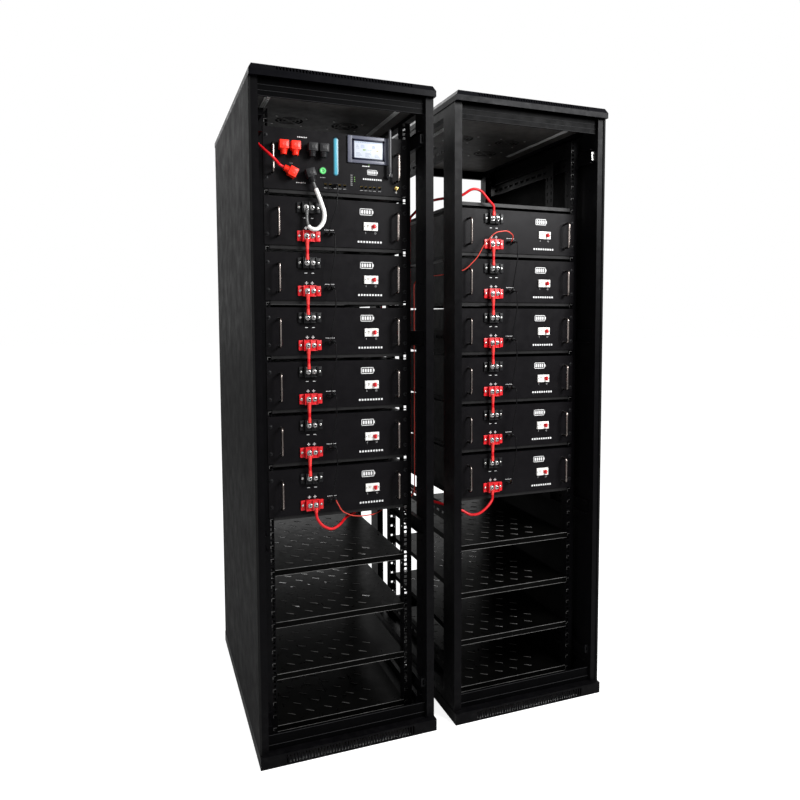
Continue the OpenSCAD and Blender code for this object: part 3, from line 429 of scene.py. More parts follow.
# ---- leads: routes repeated from the CAD source, in metres ----
LEAD_R, COMM_R = 0.00475, 0.002
LEAD_IN = [
    (-.42225, -.410, 1.8675), (-.4174, -.410, 1.853), (-.404, -.424, 1.812), (-.390, -.427, 1.768),
    (-.394, -.427, 1.736), (-.417, -.424, 1.713), (-.440, -.416, 1.720), (-.4445, -.408, 1.742),
    (-.4445, -.4075, 1.762)]
LEAD_OUT = [
    (-.5165, -.410, 1.9079), (-.5306, -.410, 1.9147), (-.552, -.436, 1.929), (-.576, -.429, 1.950),
    (-.593, -.412, 1.970), (-.600, -.392, 1.984), (-.618, -.366, 1.986), (-.620, -.300, 1.986),
    (-.620, .245, 1.986),
    (.014, .245, 1.986), (.014, .245, .762), (.014, -.330, .762), (.040, -.366, .758), (.074, -.392, .747),
    (.112, -.400, .733), (.135, -.410, .716), (.168, -.420, .718), (.205, -.418, .742), (.2285, -.409, .765),
    (.2285, -.4075, .782)]
LEAD_ACROSS = [
    (-.4255, -.4075, .782), (-.425, -.411, .765), (-.410, -.416, .740), (-.376, -.412, .719),
    (-.340, -.390, .728), (-.310, -.352, .742), (-.250, -.290, .744), (-.150, -.200, .744),
    (-.060, -.190, .746),
    (-.014, -.190, .780), (-.014, -.190, 1.800), (.005, -.300, 1.845), (.040, -.366, 1.850),
    (.074, -.392, 1.852), (.104, -.405, 1.858), (.138, -.420, 1.884), (.172, -.420, 1.880),
    (.206, -.415, 1.846), (.2285, -.409, 1.830), (.2285, -.4075, 1.812)]
SIGNAL_ACROSS = [
    (-.3585, -.410, .818), (-.357, -.422, .812), (-.340, -.418, .780), (-.300, -.400, .757),
    (-.262, -.385, .748),
    (-.212, -.370, .746), (-.150, -.300, .746), (-.060, -.262, .748), (-.020, -.255, .780),
    (-.020, -.255, 1.560), (.000, -.320, 1.578), (.040, -.366, 1.582), (.074, -.392, 1.586),
    (.120, -.406, 1.602), (.160, -.418, 1.645), (.184, -.428, 1.694), (.222, -.436, 1.734),
    (.272, -.434, 1.742), (.298, -.428, 1.726), (.2985, -.418, 1.710), (.2985, -.410, 1.707)]
SIGNAL_JUMP = [(-22, -20, 42), (-21, -36, 38), (-20, -38, -20), (-37, -38, -112), (-38, -33, -133),
               (-38, -20, -135.8)]
SIGNAL_IN = [(-9, -20, 23), (-9, -36, 19), (-14, -40, -50), (-36, -38, -112), (-38, -33, -133),
             (-38, -20, -135.8)]


def smooth(route, r, n):
    """The route with each corner rounded by a parabola, as in the CAD source."""
    p = [np.array(x, float) for x in route]
    out = [p[0]]
    for a, b, c in zip(p, p[1:], p[2:]):
        la, lc = np.linalg.norm(a - b), np.linalg.norm(c - b)
        d = min(r, la * 0.49, lc * 0.49)
        u, w = b + (a - b) / la * d, b + (c - b) / lc * d
        for i in range(n + 1):
            t = i / n
            out.append((1 - t) ** 2 * u + 2 * t * (1 - t) * b + t * t * w)
    out.append(p[-1])
    return out


def cord(name, route, r, mat, replaces, corner=0.020):
    """A flexible lead as one curve."""
    path = smooth(route, corner, 6)
    data = bpy.data.curves.new(name, "CURVE")
    data.dimensions = "3D"
    data.bevel_depth = r
    data.bevel_resolution = 4
    data.use_fill_caps = True
    spline = data.splines.new("POLY")
    spline.points.add(len(path) - 1)
    for point, place in zip(spline.points, path):
        point.co = (*place, 1)
    data.materials.append(mat)
    obj = bpy.data.objects.new(name, data)
    bpy.context.scene.collection.objects.link(obj)
    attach(obj, ROOT)
    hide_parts(replaces)


cord("Lead_In", LEAD_IN, LEAD_R, GREY_CABLE, "power_leads")
cord("Lead_Out", LEAD_OUT, LEAD_R, RED_CABLE, "power_leads")
cord("Lead_Across", LEAD_ACROSS, LEAD_R, RED_CABLE, "power_leads")
cord("Signal_Across", SIGNAL_ACROSS, COMM_R, PINK_CABLE, "comm_leads", 0.016)


def module_route(home, route):
    return [tuple((home + np.array(p)) * MM) for p in route]


for side, k, home in HOMES:
    if k < MODULES:
        cord(f"Signal_{side}_{k}", module_route(home, SIGNAL_JUMP), COMM_R, BLACK_CABLE,
             "comm_leads", 0.016)
cord("Signal_In", module_route(BOX_HOME, SIGNAL_IN), COMM_R, BLACK_CABLE, "comm_leads", 0.016)

# ---- places on the fronts ----
BLOCK_X, BLOCK_W, BLOCK_H = -99.5, 76.0, 40.0
BLOCK_Z = {"minus": 122.0, "plus": 31.0}
TERMINAL_D, LUG_T = 12.0, 2.5
BOLT_X = (-108.0, -89.0)
SCREW_X = (-131.0, -69.0)
SCREW_OUT = (SCREW_X[1] - SCREW_X[0]) / 2
BREAKER = (111.0, 71.5)
PORTS = [(-38.0, 42.0), (-22.0, 42.0)]
PORT_ROW = [(-41, 23), (-25, 23), (-9, 23), (7, 23), (23, 23), (81, 22.5), (96, 22.5), (111, 22.5),
            (126, 22.5), (144, 22.5)]
UPPER_X, UPPER_Z = (-180.0, -142.5, -87.5, -51.0), 134.0
LOWER = [(-153.5, 52.5, 115.5), (-95.0, 52.5, -18.4)]
BUTTON = (-50.0, 67.0)
BEZEL, SCREEN = (104.0, 145.0), (104.0, 58.0)
ANTENNA = (175.5, 64.0)
STUD = (203.0, 27.0)


# ---- handles ----
HANDLE_SPAN = 90.0


def handle_path(x, z, span=HANDLE_SPAN, reach=31.0, bend=10.0):
    points = [(x, 0, z), (x, -reach + bend, z)]
    points += [(x, -reach + bend - bend * math.sin(a), z + bend - bend * math.cos(a))
               for a in np.linspace(0.2, math.pi / 2, 7)]
    points += [(x, -reach, z + bend + (span - 2 * bend) * i / 6) for i in range(1, 6)]
    points += [(x, -reach + bend - bend * math.cos(a), z + span - bend + bend * math.sin(a))
               for a in np.linspace(0, math.pi / 2 - 0.2, 7)]
    points += [(x, -reach + bend, z + span), (x, 0, z + span)]
    return points


HANDLE_FOOT = turned([(4.0, -0.8), (5.4, -0.8), (5.8, -0.4), (5.8, 0), (4.0, 0)], 24)
handles = Piece("Handles", [POLISHED, BLACK_ZINC])
for origin, x, z in ([(home, s * 200.0, 28.0) for _, _, home in HOMES for s in (-1, 1)]
                     + [(BOX_HOME, x, 48.0) for x in (-215.0, 203.0)]):
    handles.add(swept(handle_path(x, z), 4.0, 16), origin)
    for end in (0, HANDLE_SPAN):
        handles.add(HANDLE_FOOT, near(origin, x, 0, z + end), BLACK_ZINC)
handles.make(replaces=["handles"], slot="polished")


# ---- terminal blocks ----
def terminal_shapes():
    """The block's parts round its own middle."""
    parts = []
    for s in (-1, 1):
        x0, x1 = sorted((s * 22.5, s * BLOCK_W / 2))
        parts.append(extruded(rounded(x0, -16.5, x1, 16.5, 2.0), -5, 0, 0.8))
        parts.append(rbox((s * 27 - 1, -6.2, -15.5), (s * 27 + 1, -4, 15.5), 0.4))
        rim = turned([(5.8, -5.2), (6.8, -5.2), (6.8, -6.4), (5.8, -6.4), (5.8, -5.2)], 24)
        parts.append(moved(rim, (s * SCREW_OUT, 0, 0)))
    parts.append(rbox((-22, -TERMINAL_D, -18), (22, 0, 18), 1.0))
    for x0, x1 in ((-22, -20), (-1, 3), (20, 22)):
        parts.append(rbox((x0, -TERMINAL_D - 5, -18), (x1, -TERMINAL_D + 1, 18), 0.6))
    for z0 in (-18, 15.5):
        parts.append(rbox((-22, -TERMINAL_D - 2.2, z0), (22, -TERMINAL_D + 1, z0 + 2.5), 0.6))
    for x in (-14, -9, -4, 6, 11, 16):
        parts.append(rbox((x - 0.8, -TERMINAL_D - 1, -15.4), (x + 0.8, -TERMINAL_D + 1, -11), 0.3))
    return parts


BLOCK_PARTS = terminal_shapes()
for which, mat, node, slot in (("minus", PLASTIC_BLACK, "negative_terminals", "plastic_black"),
                               ("plus", PLASTIC_RED, "positive_terminals", "plastic_red")):
    blocks = Piece(f"Terminals_{which}", [mat])
    for _, _, home in HOMES:
        for shape in BLOCK_PARTS:
            blocks.add(shape, near(home, BLOCK_X, 0, BLOCK_Z[which]))
    blocks.make(replaces=[node], slot=slot)

HEX_HEAD = turned([(0, -5.5), (5.4, -5.5), (6.3, -5.0), (7.0, -4.3), (7.0, 0), (0, 0)], 6)
# HEX_SOCKET and the CROSS bars are black shapes laid on the heads: painted shade for their recesses
HEX_SOCKET = turned([(0, -5.6), (3.0, -5.6), (3.3, -5.5)], 6)
WASHER = turned([(4.2, -2.3), (7.7, -2.3), (8.0, -2.0), (8.0, -0.2), (7.7, 0), (4.2, 0)], 24)
PAN_HEAD = turned([(0, -2.5), (2.4, -2.45), (3.7, -1.9), (4.4, -0.9), (4.5, 0), (0, 0)], 20)
CROSS_A = rbox((-2.3, -2.62, -0.45), (2.3, -2.3, 0.45), 0.1, 1)
CROSS_B = rbox((-0.45, -2.62, -2.3), (0.45, -2.3, 2.3), 0.1, 1)
bolts = Piece("Terminal_Bolts", [NICKEL, SHADE_AND_PRINT_BLACK, ZINC])
for side, k, home in HOMES:
    for which in ("minus", "plus"):
        z = BLOCK_Z[which]
        lug_x = BOLT_X[1] if (which == "plus" and k == MODULES and side == 0) else BOLT_X[0]
        for n, x in enumerate(BOLT_X):
            at = near(home, x, -TERMINAL_D - LUG_T, z)
            bolts.add(HEX_HEAD, at, NICKEL, spin(11 + 17 * n + 23 * k))
            bolts.add(cap_rod(4.0, 0, TERMINAL_D + LUG_T + 18, 0.4, 16), at, NICKEL)
            bolts.add(HEX_SOCKET, at, SHADE_AND_PRINT_BLACK, spin(11 + 17 * n + 23 * k))
            if x != lug_x:
                bolts.add(WASHER, near(at, 0, LUG_T, 0), NICKEL)
        for x in SCREW_X:
            at = near(home, x, -5, z)
            bolts.add(PAN_HEAD, at, ZINC)
            for cross in (CROSS_A, CROSS_B):
                bolts.add(cross, at, SHADE_AND_PRINT_BLACK, spin(20 + 31 * k))
            bolts.add(cap_rod(2.0, 0, 17, 0.3, 12), at, ZINC)
bolts.make(replaces=["terminal_bolts"], slot="nickel")


# ---- lugs, heat-shrink and the short red jumpers ----
BARREL_Y = -TERMINAL_D - 5.5
LUG_RING = turned([(4.1, -LUG_T), (8.6, -LUG_T), (9.0, -LUG_T + 0.4), (9.0, -0.4), (8.6, 0), (4.1, 0)], 28)
PALM = rbox((-6.5, -LUG_T, -16), (6.5, 0, -5), 0.5)


def shrink(z0, z1, r0, r1, rings=14, seed=0.0):
    """A heat-shrink sleeve that narrows from r0 to r1, with soft wrinkles."""
    out = [(0, z0), (r0 - 0.5, z0)]
    for i in range(rings + 1):
        t = i / rings
        ease = t * t * (3 - 2 * t)
        out.append((r0 + (r1 - r0) * ease + 0.18 * math.sin(9 * t + seed) + 0.1 * math.sin(23 * t + seed),
                    z0 + (z1 - z0) * t))
    out += [(r1 - 0.5, z1), (0, z1)]
    return turned(out, 24, "z")


jumpers = Piece("Jumpers", [RED_CABLE, RED_SHRINK, NICKEL])
for side, k, home in HOMES:
    if k == MODULES:
        continue
    z_plus, z_minus = BLOCK_Z["plus"], BLOCK_Z["minus"] - STEP
    for z, way in ((z_plus, -1), (z_minus, 1)):
        at = near(home, BOLT_X[0], 0, z)
        flip = spin(0 if way < 0 else 180)
        jumpers.add(LUG_RING, near(at, 0, -TERMINAL_D, 0), NICKEL)
        jumpers.add(PALM, near(at, 0, -TERMINAL_D, 0), NICKEL, flip)
        sleeve = shrink(-44 if way < 0 else -28, -9.5, 5.1, 6.6 if way < 0 else 5.9, seed=k + side)
        jumpers.add(sleeve, near(at, 0, BARREL_Y, 0), RED_SHRINK, flip)
    x = home[0] + BOLT_X[0]
    lead = [(x, home[1] + BARREL_Y, home[2] + z) for z in np.linspace(z_minus + 20, z_plus - 20, 12)]
    jumpers.add(swept(lead, 4.75, 20), (0, 0, 0), RED_CABLE)
jumpers.make(replaces=["power_leads"], slot="lead_red")


def lug_at(piece, place, way, mat):
    """A lug with its heat-shrink at one end of a long lead."""
    flip = spin(0 if way < 0 else 180)
    piece.add(LUG_RING, near(place, 0, -TERMINAL_D, 0), NICKEL)
    piece.add(PALM, near(place, 0, -TERMINAL_D, 0), NICKEL, flip)
    piece.add(shrink(-24.0, -9.0, 5.6, 6.2, seed=1.0), near(place, 0, BARREL_Y, 0), mat, flip)


HOME_OF = {(side, k): home for side, k, home in HOMES}
lugs = Piece("Lead_Lugs", [NICKEL, GREY_CABLE, RED_SHRINK])
lug_at(lugs, near(HOME_OF[0, 1], BOLT_X[0], 0, BLOCK_Z["minus"]), -1, GREY_CABLE)
lug_at(lugs, near(HOME_OF[1, 1], BOLT_X[0], 0, BLOCK_Z["minus"]), 1, RED_SHRINK)
lug_at(lugs, near(HOME_OF[0, 6], BOLT_X[1], 0, BLOCK_Z["plus"]), -1, RED_SHRINK)
lug_at(lugs, near(HOME_OF[1, 6], BOLT_X[0], 0, BLOCK_Z["plus"]), -1, RED_SHRINK)
lugs.make(slot="nickel")

# White sleeve over the lead from the control box to the first module
path = np.array(smooth(LEAD_IN, 0.020, 6)) / MM
run = np.concatenate([[0], np.cumsum(np.linalg.norm(np.diff(path, axis=0), axis=1))])
SLEEVE_FROM, SLEEVE_TO, SLEEVE_STEPS = 0.10, 0.84, 60
inside = [np.array([np.interp(s, run, path[:, i]) for i in range(3)])
          for s in np.linspace(run[-1] * SLEEVE_FROM, run[-1] * SLEEVE_TO, SLEEVE_STEPS)]
wobble = [1 + 0.03 * math.sin(1.7 * i) + 0.02 * math.sin(0.63 * i) for i in range(SLEEVE_STEPS)]
sleeve = Piece("White_Sleeve", [WHITE_SLEEVE])
sleeve.add(swept(inside, 6.6, 24, wobble))
sleeve.make(slot="lead_red")


# ---- breakers and toggles ----
def breaker_parts():
    x, z = BREAKER
    w, h = 24.0, 13.5
    parts = []
    for x0, x1, z0, z1 in ((x - w, x - 18, z - h, z + h), (x + 18, x + w, z - h, z + h),
                           (x - 18.2, x + 18.2, z + 5, z + h), (x - 18.2, x + 18.2, z - h, z - 5)):
        parts.append((rbox((x0, -6, z0), (x1, 60, z1), 0.7), 0))
    # the black plate at the back of the slot and the black squares on the front are painted shade for the
    # slot's depth and the holes
    parts.append((rbox((x - 18.2, 22.0, z - 5.2), (x + 18.2, 22.8, z + 5.2), 0.2, 1), 1))
    for s in (-1, 1):
        x0, x1 = sorted((x + s * 14.6, x + s * 18.2))
        parts.append((rbox((x0, -4.8, z - 5.2), (x1, 20, z + 5.2), 0.4, 2), 0))
    for s in (-1, 1):
        parts.append((rbox((x + s * 21 - 1.6, -6.25, z - 1.6), (x + s * 21 + 1.6, -5.8, z + 1.6), 0.15, 1), 1))
        parts.append((rbox((x - 18, -6.5, z + s * 9.3 - 0.5), (x + 18, -5.8, z + s * 9.3 + 0.5), 0.2, 1), 0))
    return parts


breakers = Piece("Breakers", [PLASTIC_WHITE, SHADE_AND_PRINT_BLACK])
for _, _, home in HOMES:
    for shape, shade in breaker_parts():
        breakers.add(shape, home, (PLASTIC_WHITE, SHADE_AND_PRINT_BLACK)[shade])
breakers.make(replaces=["breaker_bodies"], slot="plastic_white")

LEAN, PIVOT_DEPTH = 25.0, 8.0
for side, k, home in HOMES:
    index = k + side * MODULES
    lever = Piece(f"Toggle_{index}", [PLASTIC_RED, DARK_RED, PLASTIC_WHITE])
    pivot = near(home, BREAKER[0], PIVOT_DEPTH, BREAKER[1])
    lean = spin(LEAN, "z")
    h = 4.7
    lever.add(cap_rod(13.2, -h, h, 0.5, 48, "z"), pivot, PLASTIC_WHITE, lean)
    lever.add(rbox((-3, -25, -h), (3, 0, h), 0.9, 3), pivot, PLASTIC_RED, lean)
    lever.add(rbox((-3.6, -27, -7.4), (3.6, -18.6, 7.4), 1.6, 3), pivot, PLASTIC_RED, lean)
    for z in (-4.5, 0, 4.5):
        lever.add(rbox((-3.9, -25.6, z - 0.6), (3.9, -20.2, z + 0.6), 0.2, 1), pivot, DARK_RED, lean)
    lever.make(body=f"breaker_toggle_{index}", replaces=[f"breaker_toggle_{index}"], slot="toggle_red")


# ---- ports with their gold contacts, and the plugs in them ----
def port_parts(x, z, plugged):
    s = 6.5
    parts = []
    for x0, x1, z0, z1 in ((x - s, x - s + 1.2, z - s, z + s), (x + s - 1.2, x + s, z - s, z + s),
                           (x - s + 1, x + s - 1, z - s, z - s + 1.4),
                           (x - s + 1, x + s - 1, z + s - 1.4, z + s)):
        parts.append((rbox((x0, -1.5, z0), (x1, 16, z1), 0.25, 1), 0))
    # the black wall deep in the port and the black latch notch are painted shade in the port's hollow
    parts.append((rbox((x - s + 1, 9, z - s + 1), (x + s - 1, 13, z + s - 1), 0.2, 1), 1))
    if not plugged:
        for i in range(8):
            cx = x - 3.5 + i
            parts.append((rbox((cx - 0.25, 1.5, z + 1.6), (cx + 0.25, 10, z + 4.6), 0.1, 1), 2))
        parts.append((rbox((x - 2, -1.2, z - s + 0.6), (x + 2, 2, z - s + 2.6), 0.2, 1), 1))
    return parts


def plug_parts(x, z):
    """A plug with its boot, latch and ribs."""
    parts = [rbox((x - 4.9, -14, z - 3.9), (x + 4.9, 9, z + 3.9), 0.6)]
    boot = turned([(0, -20), (2.6, -20), (3.0, -18), (3.6, -14), (4.4, -12), (0, -12)], 20)
    parts.append(moved(boot, (x, 0, z)))
    parts.append(rbox((x - 1.6, -17, z - 6.2), (x + 1.6, -3, z - 4.6), 0.4))
    for y in (-18.4, -16.6, -15.0):
        rib = turned([(3.0, y - 0.4), (3.9, y - 0.2), (3.9, y + 0.2), (3.0, y + 0.4)], 20)
        parts.append(moved(rib, (x, 0, z)))
    return parts


PORT_MATS = [PORT_METAL, SHADE_AND_PRINT_BLACK, GOLD]
module_ports = Piece("Module_Ports", PORT_MATS)
plugs = Piece("Signal_Plugs", [PLASTIC_BLACK])
for side, k, home in HOMES:
    for n, (x, z) in enumerate(PORTS):
        is_plugged = n == 0 or k < MODULES or side == 0
        for shape, shade in port_parts(x, z, is_plugged):
            module_ports.add(shape, home, PORT_MATS[shade])
        if is_plugged:
            for shape in plug_parts(x, z):
                plugs.add(shape, home)
module_ports.make(replaces=["battery_ports"], slot="port_metal")
PLUGGED = 2
row_ports = Piece("Control_Ports", PORT_MATS)
for n, (x, z) in enumerate(PORT_ROW):
    for shape, shade in port_parts(x, z, n == PLUGGED):
        row_ports.add(shape, BOX_HOME, PORT_MATS[shade])
for shape in plug_parts(*PORT_ROW[PLUGGED]):
    plugs.add(shape, BOX_HOME)
row_ports.make(replaces=["control_ports"], slot="port_metal")
plugs.make(replaces=["comm_leads"], slot="lead_black")


# ---- power connectors on the control box ----
SLEEVE_IN, SLEEVE_TIP = 6.0, -29.0
CONNECTOR_W, CONNECTOR_Y = 14.75, (-35.3, -5.3)
CONNECTOR_MID = sum(CONNECTOR_Y) / 2


def connector_parts():
    """A right-angle connector: its shell round the socket's middle and its sleeve straight down."""
    w, (y0, y1) = CONNECTOR_W, CONNECTOR_Y
    shell = [(-w + 1, -12), (w - 1, -12), (w, -11), (w, w - 1.6),
             (w - 1.6, w), (-w + 1.6, w), (-w, w - 1.6), (-w, -11)]
    parts = [extruded(shell[::-1], y0, y1, 1.0, 3)]
    parts.append(extruded(rounded(-w + 3.5, -8, w - 3.5, w - 3.5, 3), y0 - 0.7, y0 + 1, 0.5))
    for s in (-1, 1):
        parts.append(rbox((s * (w - 0.2) - 1.0, y0 + 6, -6), (s * (w - 0.2) + 1.0, y1 - 6, 8), 0.6))
        parts.append(rbox((s * 5 - 1.2, y0 - 1.5, -6), (s * 5 + 1.2, y0 + 0.5, 7), 0.4))
    tip = SLEEVE_TIP
    parts.append(moved(turned([(0, tip), (SLEEVE_IN, tip), (9.2, tip + 0.4), (9.7, tip + 2), (10.0, -20),
                               (11.2, -18), (11.6, -13.5), (12.0, -12), (0, -12)], 28, "z"),
                       (0, CONNECTOR_MID, 0)))
    for z in (-16.5, -20.5, -24.5):
        parts.append(moved(turned([(9.6, z - 0.7), (10.5, z - 0.4), (10.5, z + 0.4), (9.6, z + 0.7)], 28, "z"),
                           (0, CONNECTOR_MID, 0)))
    return parts


CONNECTORS = [("red_connector_1", ORANGE_RED, "plastic_red"), ("red_connector_2", ORANGE_RED, "plastic_red"),
              ("black_connector_1", CONNECTOR_BLACK, "plastic_black"),
              ("black_connector_2", CONNECTOR_BLACK, "plastic_black")]
for x, (node, mat, slot) in zip(UPPER_X, CONNECTORS):
    piece = Piece(node.title(), [mat, SHADE_AND_PRINT_BLACK])
    at = near(BOX_HOME, x, 0, UPPER_Z)
    for shape in connector_parts():
        piece.add(shape, at, mat)
    # the black disc deep in the sleeve is painted shade for its hole
    hole = cap_rod(SLEEVE_IN - 0.3, SLEEVE_TIP - 0.15, SLEEVE_TIP + 3, 0.2, 24, "z")
    piece.add(hole, near(at, 0, CONNECTOR_MID, 0), SHADE_AND_PRINT_BLACK)
    piece.make(body=node, replaces=[node], slot=slot)
lower_plugs = Piece("Lead_Plugs", [ORANGE_RED, CONNECTOR_BLACK])
for (x, z, turn), mat in zip(LOWER, (ORANGE_RED, CONNECTOR_BLACK)):
    at = near(BOX_HOME, x, 0.3, z)
    for shape in connector_parts():
        lower_plugs.add(shape, at, mat, spin(turn))
lower_plugs.make(replaces=["module_plugs"], slot="plastic_red")
sockets = Piece("Connector_Sockets", [PLASTIC_BLACK, ZINC])
SOCKET = turned([(0, -5), (12.6, -5), (13.4, -4.6), (14, -3.8), (14, -0.2), (13.6, 0), (8, 0), (8, 22),
                 (0, 22)], 36)
for x, z in [(x, UPPER_Z) for x in UPPER_X] + [p[:2] for p in LOWER]:
    at = near(BOX_HOME, x, 0, z)
    sockets.add(SOCKET, at, PLASTIC_BLACK)
    for a in (45, 135, 225, 315):
        c, s = 11.8 * math.cos(math.radians(a)), 11.8 * math.sin(math.radians(a))
        sockets.add(cap_rod(1.2, -5.2, -4.8, 0.1, 10), near(at, c, 0, s), ZINC)
sockets.make(replaces=["connector_sockets"], slot="plastic_black")

# ---- button, light strip, display, antenna, stud ----
at = near(BOX_HOME, BUTTON[0], 0, BUTTON[1])
housing = Piece("Button_Housing", [BLACK_ZINC])
housing.add(turned([(10.3, 20), (10.3, -2.4), (10.8, -3), (13.6, -3), (14.6, -2.2), (15, -1), (15, 0), (12, 0),
                    (12, 26), (0, 26), (0, 20.2), (10.3, 20.2)], 48), at)
housing.make(replaces=["button_housing"], slot="plastic_grey")
button = Piece("Push_Button", [GREEN_GLOW, SHADE_AND_PRINT_BLACK])
button.add(turned([(6.2, -6.0), (9.2, -6.0), (9.8, -5.5), (10, -4.8), (10, 16.7), (0, 16.7)], 40), at,
           GREEN_GLOW)
button.add(turned([(0, -5.4), (5.2, -5.4), (6.3, -5.9)], 40), at, GREEN_GLOW)
ring = extruded(arc(0, 0, 4.2, 130, 410, 24) + arc(0, 0, 2.9, 410, 130, 24), -5.75, -5.3)
button.add(ring, at, SHADE_AND_PRINT_BLACK)
button.add(rbox((-0.7, -5.75, 0.8), (0.7, -5.3, 4.8), 0.1, 1), at, SHADE_AND_PRINT_BLACK)
button.make(body="push_button", replaces=["push_button"], slot="button_green")

strip_low, strip_high = box_mm("light_strip")
strip = Piece("Light_Strip", [CYAN_GLOW, CYAN_RIM])
x0, x1, z0, z1 = strip_low[0], strip_high[0], strip_low[2], strip_high[2]
for inset, y, mat in ((0.2, strip_low[1] + 0.5, CYAN_RIM), (3.0, strip_low[1], CYAN_GLOW)):
    outline = rounded(x0 + inset, z0 + inset, x1 - inset, z1 - inset, (x1 - x0) / 2 - inset - 0.02, 10)
    strip.add(extruded(outline, y, strip_high[1], 1.0, 3), (0, 0, 0), mat)
strip.make(replaces=["light_strip"], slot="strip_cyan")

bx, bz = BEZEL
bezel = Piece("Display_Bezel", [BEZEL_BLUE, BEZEL_DARK, PLASTIC_GREY])
w, h, sw, sh = 71.0, 44.0, SCREEN[0] / 2, SCREEN[1] / 2
for x0, x1, z0, z1 in ((-w, -sw - 3, -h, h), (sw + 3, w, -h, h), (-sw - 3.5, sw + 3.5, sh + 3, h),
                       (-sw - 3.5, sw + 3.5, -h, -sh - 3)):
    bezel.add(rbox((bx + x0, -6.6, bz + z0), (bx + x1, 0, bz + z1), 1.0, 3), BOX_HOME, BEZEL_BLUE)
bezel.add(rbox((bx - w + 0.6, -3.6, bz - h + 0.6), (bx + w - 0.6, -1, bz + h - 0.6), 0.5), BOX_HOME, BEZEL_BLUE)
for x0, x1, z0, z1 in ((-sw - 5, -sw + 3.5, -sh - 5, sh + 5), (sw - 3.5, sw + 5, -sh - 5, sh + 5),
                       (-sw - 4, sw + 4, sh - 2, sh + 5), (-sw - 4, sw + 4, -sh - 5, -sh + 2)):
    bezel.add(rbox((bx + x0, -7.0, bz + z0), (bx + x1, -3, bz + z1), 0.4), BOX_HOME, BEZEL_DARK)
for n, z in enumerate((14, 2, -10)):
    bezel.add(cap_rod(2.2, -7.0, -6, 0.4, 20), near(BOX_HOME, bx + 64, 0, bz + z), PLASTIC_GREY)
bezel.add(rbox((bx - 61, 0, bz - 35), (bx + 61, 30, bz + 35), 1.0), BOX_HOME, PLASTIC_GREY)
bezel.make(replaces=["display_bezel"], slot="plastic_grey")

SCREEN_MATS = [SCREEN_BASE, SCREEN_BAR, SCREEN_TEXT, SCREEN_GREEN, SCREEN_AMBER, SCREEN_BLUE]
screen = Piece("Display_Screen", SCREEN_MATS)


def tile(x0, z0, x1, z1, mat, y=-6.3):
    screen.add(rbox((bx + 0.92 * x0, y, bz + 0.92 * z0), (bx + 0.92 * x1, y + 0.3, bz + 0.92 * z1), 0.0),
               BOX_HOME, mat)


screen.add(rbox((bx - sw + 0.2, -6.0, bz - sh + 0.2), (bx + sw - 0.2, -4.0, bz + sh - 0.2), 0.2), BOX_HOME,
           SCREEN_BASE)
tile(-51, 23.5, 51, 28.5, SCREEN_BAR)
for i in range(6):
    tile(-49 + i * 8.5, 25, -43.5 + i * 8.5, 27, SCREEN_TEXT, -6.45)
tile(44, 25, 48, 27, SCREEN_GREEN, -6.45)
for cx in (-22, 20):
    tile(cx - 7, 6, cx + 7, 16, SCREEN_BAR)
    tile(cx - 4, 16.4, cx + 4, 17.4, SCREEN_TEXT)
for cx, mat in ((-16, SCREEN_GREEN), (34, SCREEN_AMBER)):
    tile(cx - 5, -3, cx + 5, 3, mat)
tile(-11, 0.0, 29, 0.7, SCREEN_BLUE)
tile(8.6, -14, 9.3, 0.0, SCREEN_BLUE)
for row in range(4):
    for col in range(3):
        x = -47 + col * 35
        tile(x, -12 - row * 4.2, x + 14 + 4 * ((row + col) % 3), -10.6 - row * 4.2, SCREEN_TEXT)
for row in range(3):
    tile(-47, 14 - row * 5, -38 + 2 * row, 15.4 - row * 5, SCREEN_TEXT)
screen.make(replaces=["display_screen"], slot="screen")

at = near(BOX_HOME, ANTENNA[0], 0, ANTENNA[1])
knuckle = Piece("Antenna_Base", [PLASTIC_GREY, BRASS])
knuckle.add(turned([(0, -0.3), (5.4, -0.3), (6, -0.8), (6, -3.4), (5.2, -3.8), (5.2, -6), (6, -6.4), (6, -9.6),
                    (5.6, -10.2), (0, -10.2)][::-1], 24), at, PLASTIC_GREY)
for i in range(12):
    a = math.radians(30 * i)
    knuckle.add(rbox((-0.5, -9.4, 5.7), (0.5, -6.6, 6.2), 0.15, 1), at, PLASTIC_GREY, spin(30 * i))
for s in (-1, 1):
    x0, x1 = sorted((s * 2.5, s * 6.0))
    knuckle.add(rbox((x0, -24, -6), (x1, -10, 6), 1.2, 3), at, PLASTIC_GREY)
    pin = cap_rod(2.0, s * 5.6 - 0.5, s * 5.6 + 0.5, 0.2, 16, "x")
    knuckle.add(pin, near(at, 0, -18, 0), BRASS)
knuckle.add(rbox((-6, -13, -6), (6, -9.8, 6), 0.8, 2), at, PLASTIC_GREY)
knuckle.make(body="antenna_base", replaces=["antenna_base"], slot="plastic_black")
mast = Piece("Antenna_Mast", [PLASTIC_GREY])
at = near(at, 0, -18, 0)
mast.add(cap_rod(4.5, -2.2, 2.2, 0.4, 24, "x"), at)
mast.add(rbox((-2.2, -3, 0), (2.2, 3, 12), 0.6), at)
mast.add(turned([(0, 9.5), (4.2, 9.5), (5, 10.5), (5, 23), (5.3, 24.5), (5.3, 26), (4.9, 26.4), (4.9, 27.2),
                 (5.3, 27.6), (5.25, 90), (5.0, 146), (4.4, 150.5), (3.0, 152.4), (0, 153)][::-1], 28, "z"), at)
for z in (13, 15.5, 18, 20.5):
    mast.add(turned([(4.8, z + 0.7), (5.3, z + 0.4), (5.3, z - 0.4), (4.8, z - 0.7)], 28, "z"), at)
mast.make(body="antenna_mast", replaces=["antenna_mast"], slot="plastic_black")

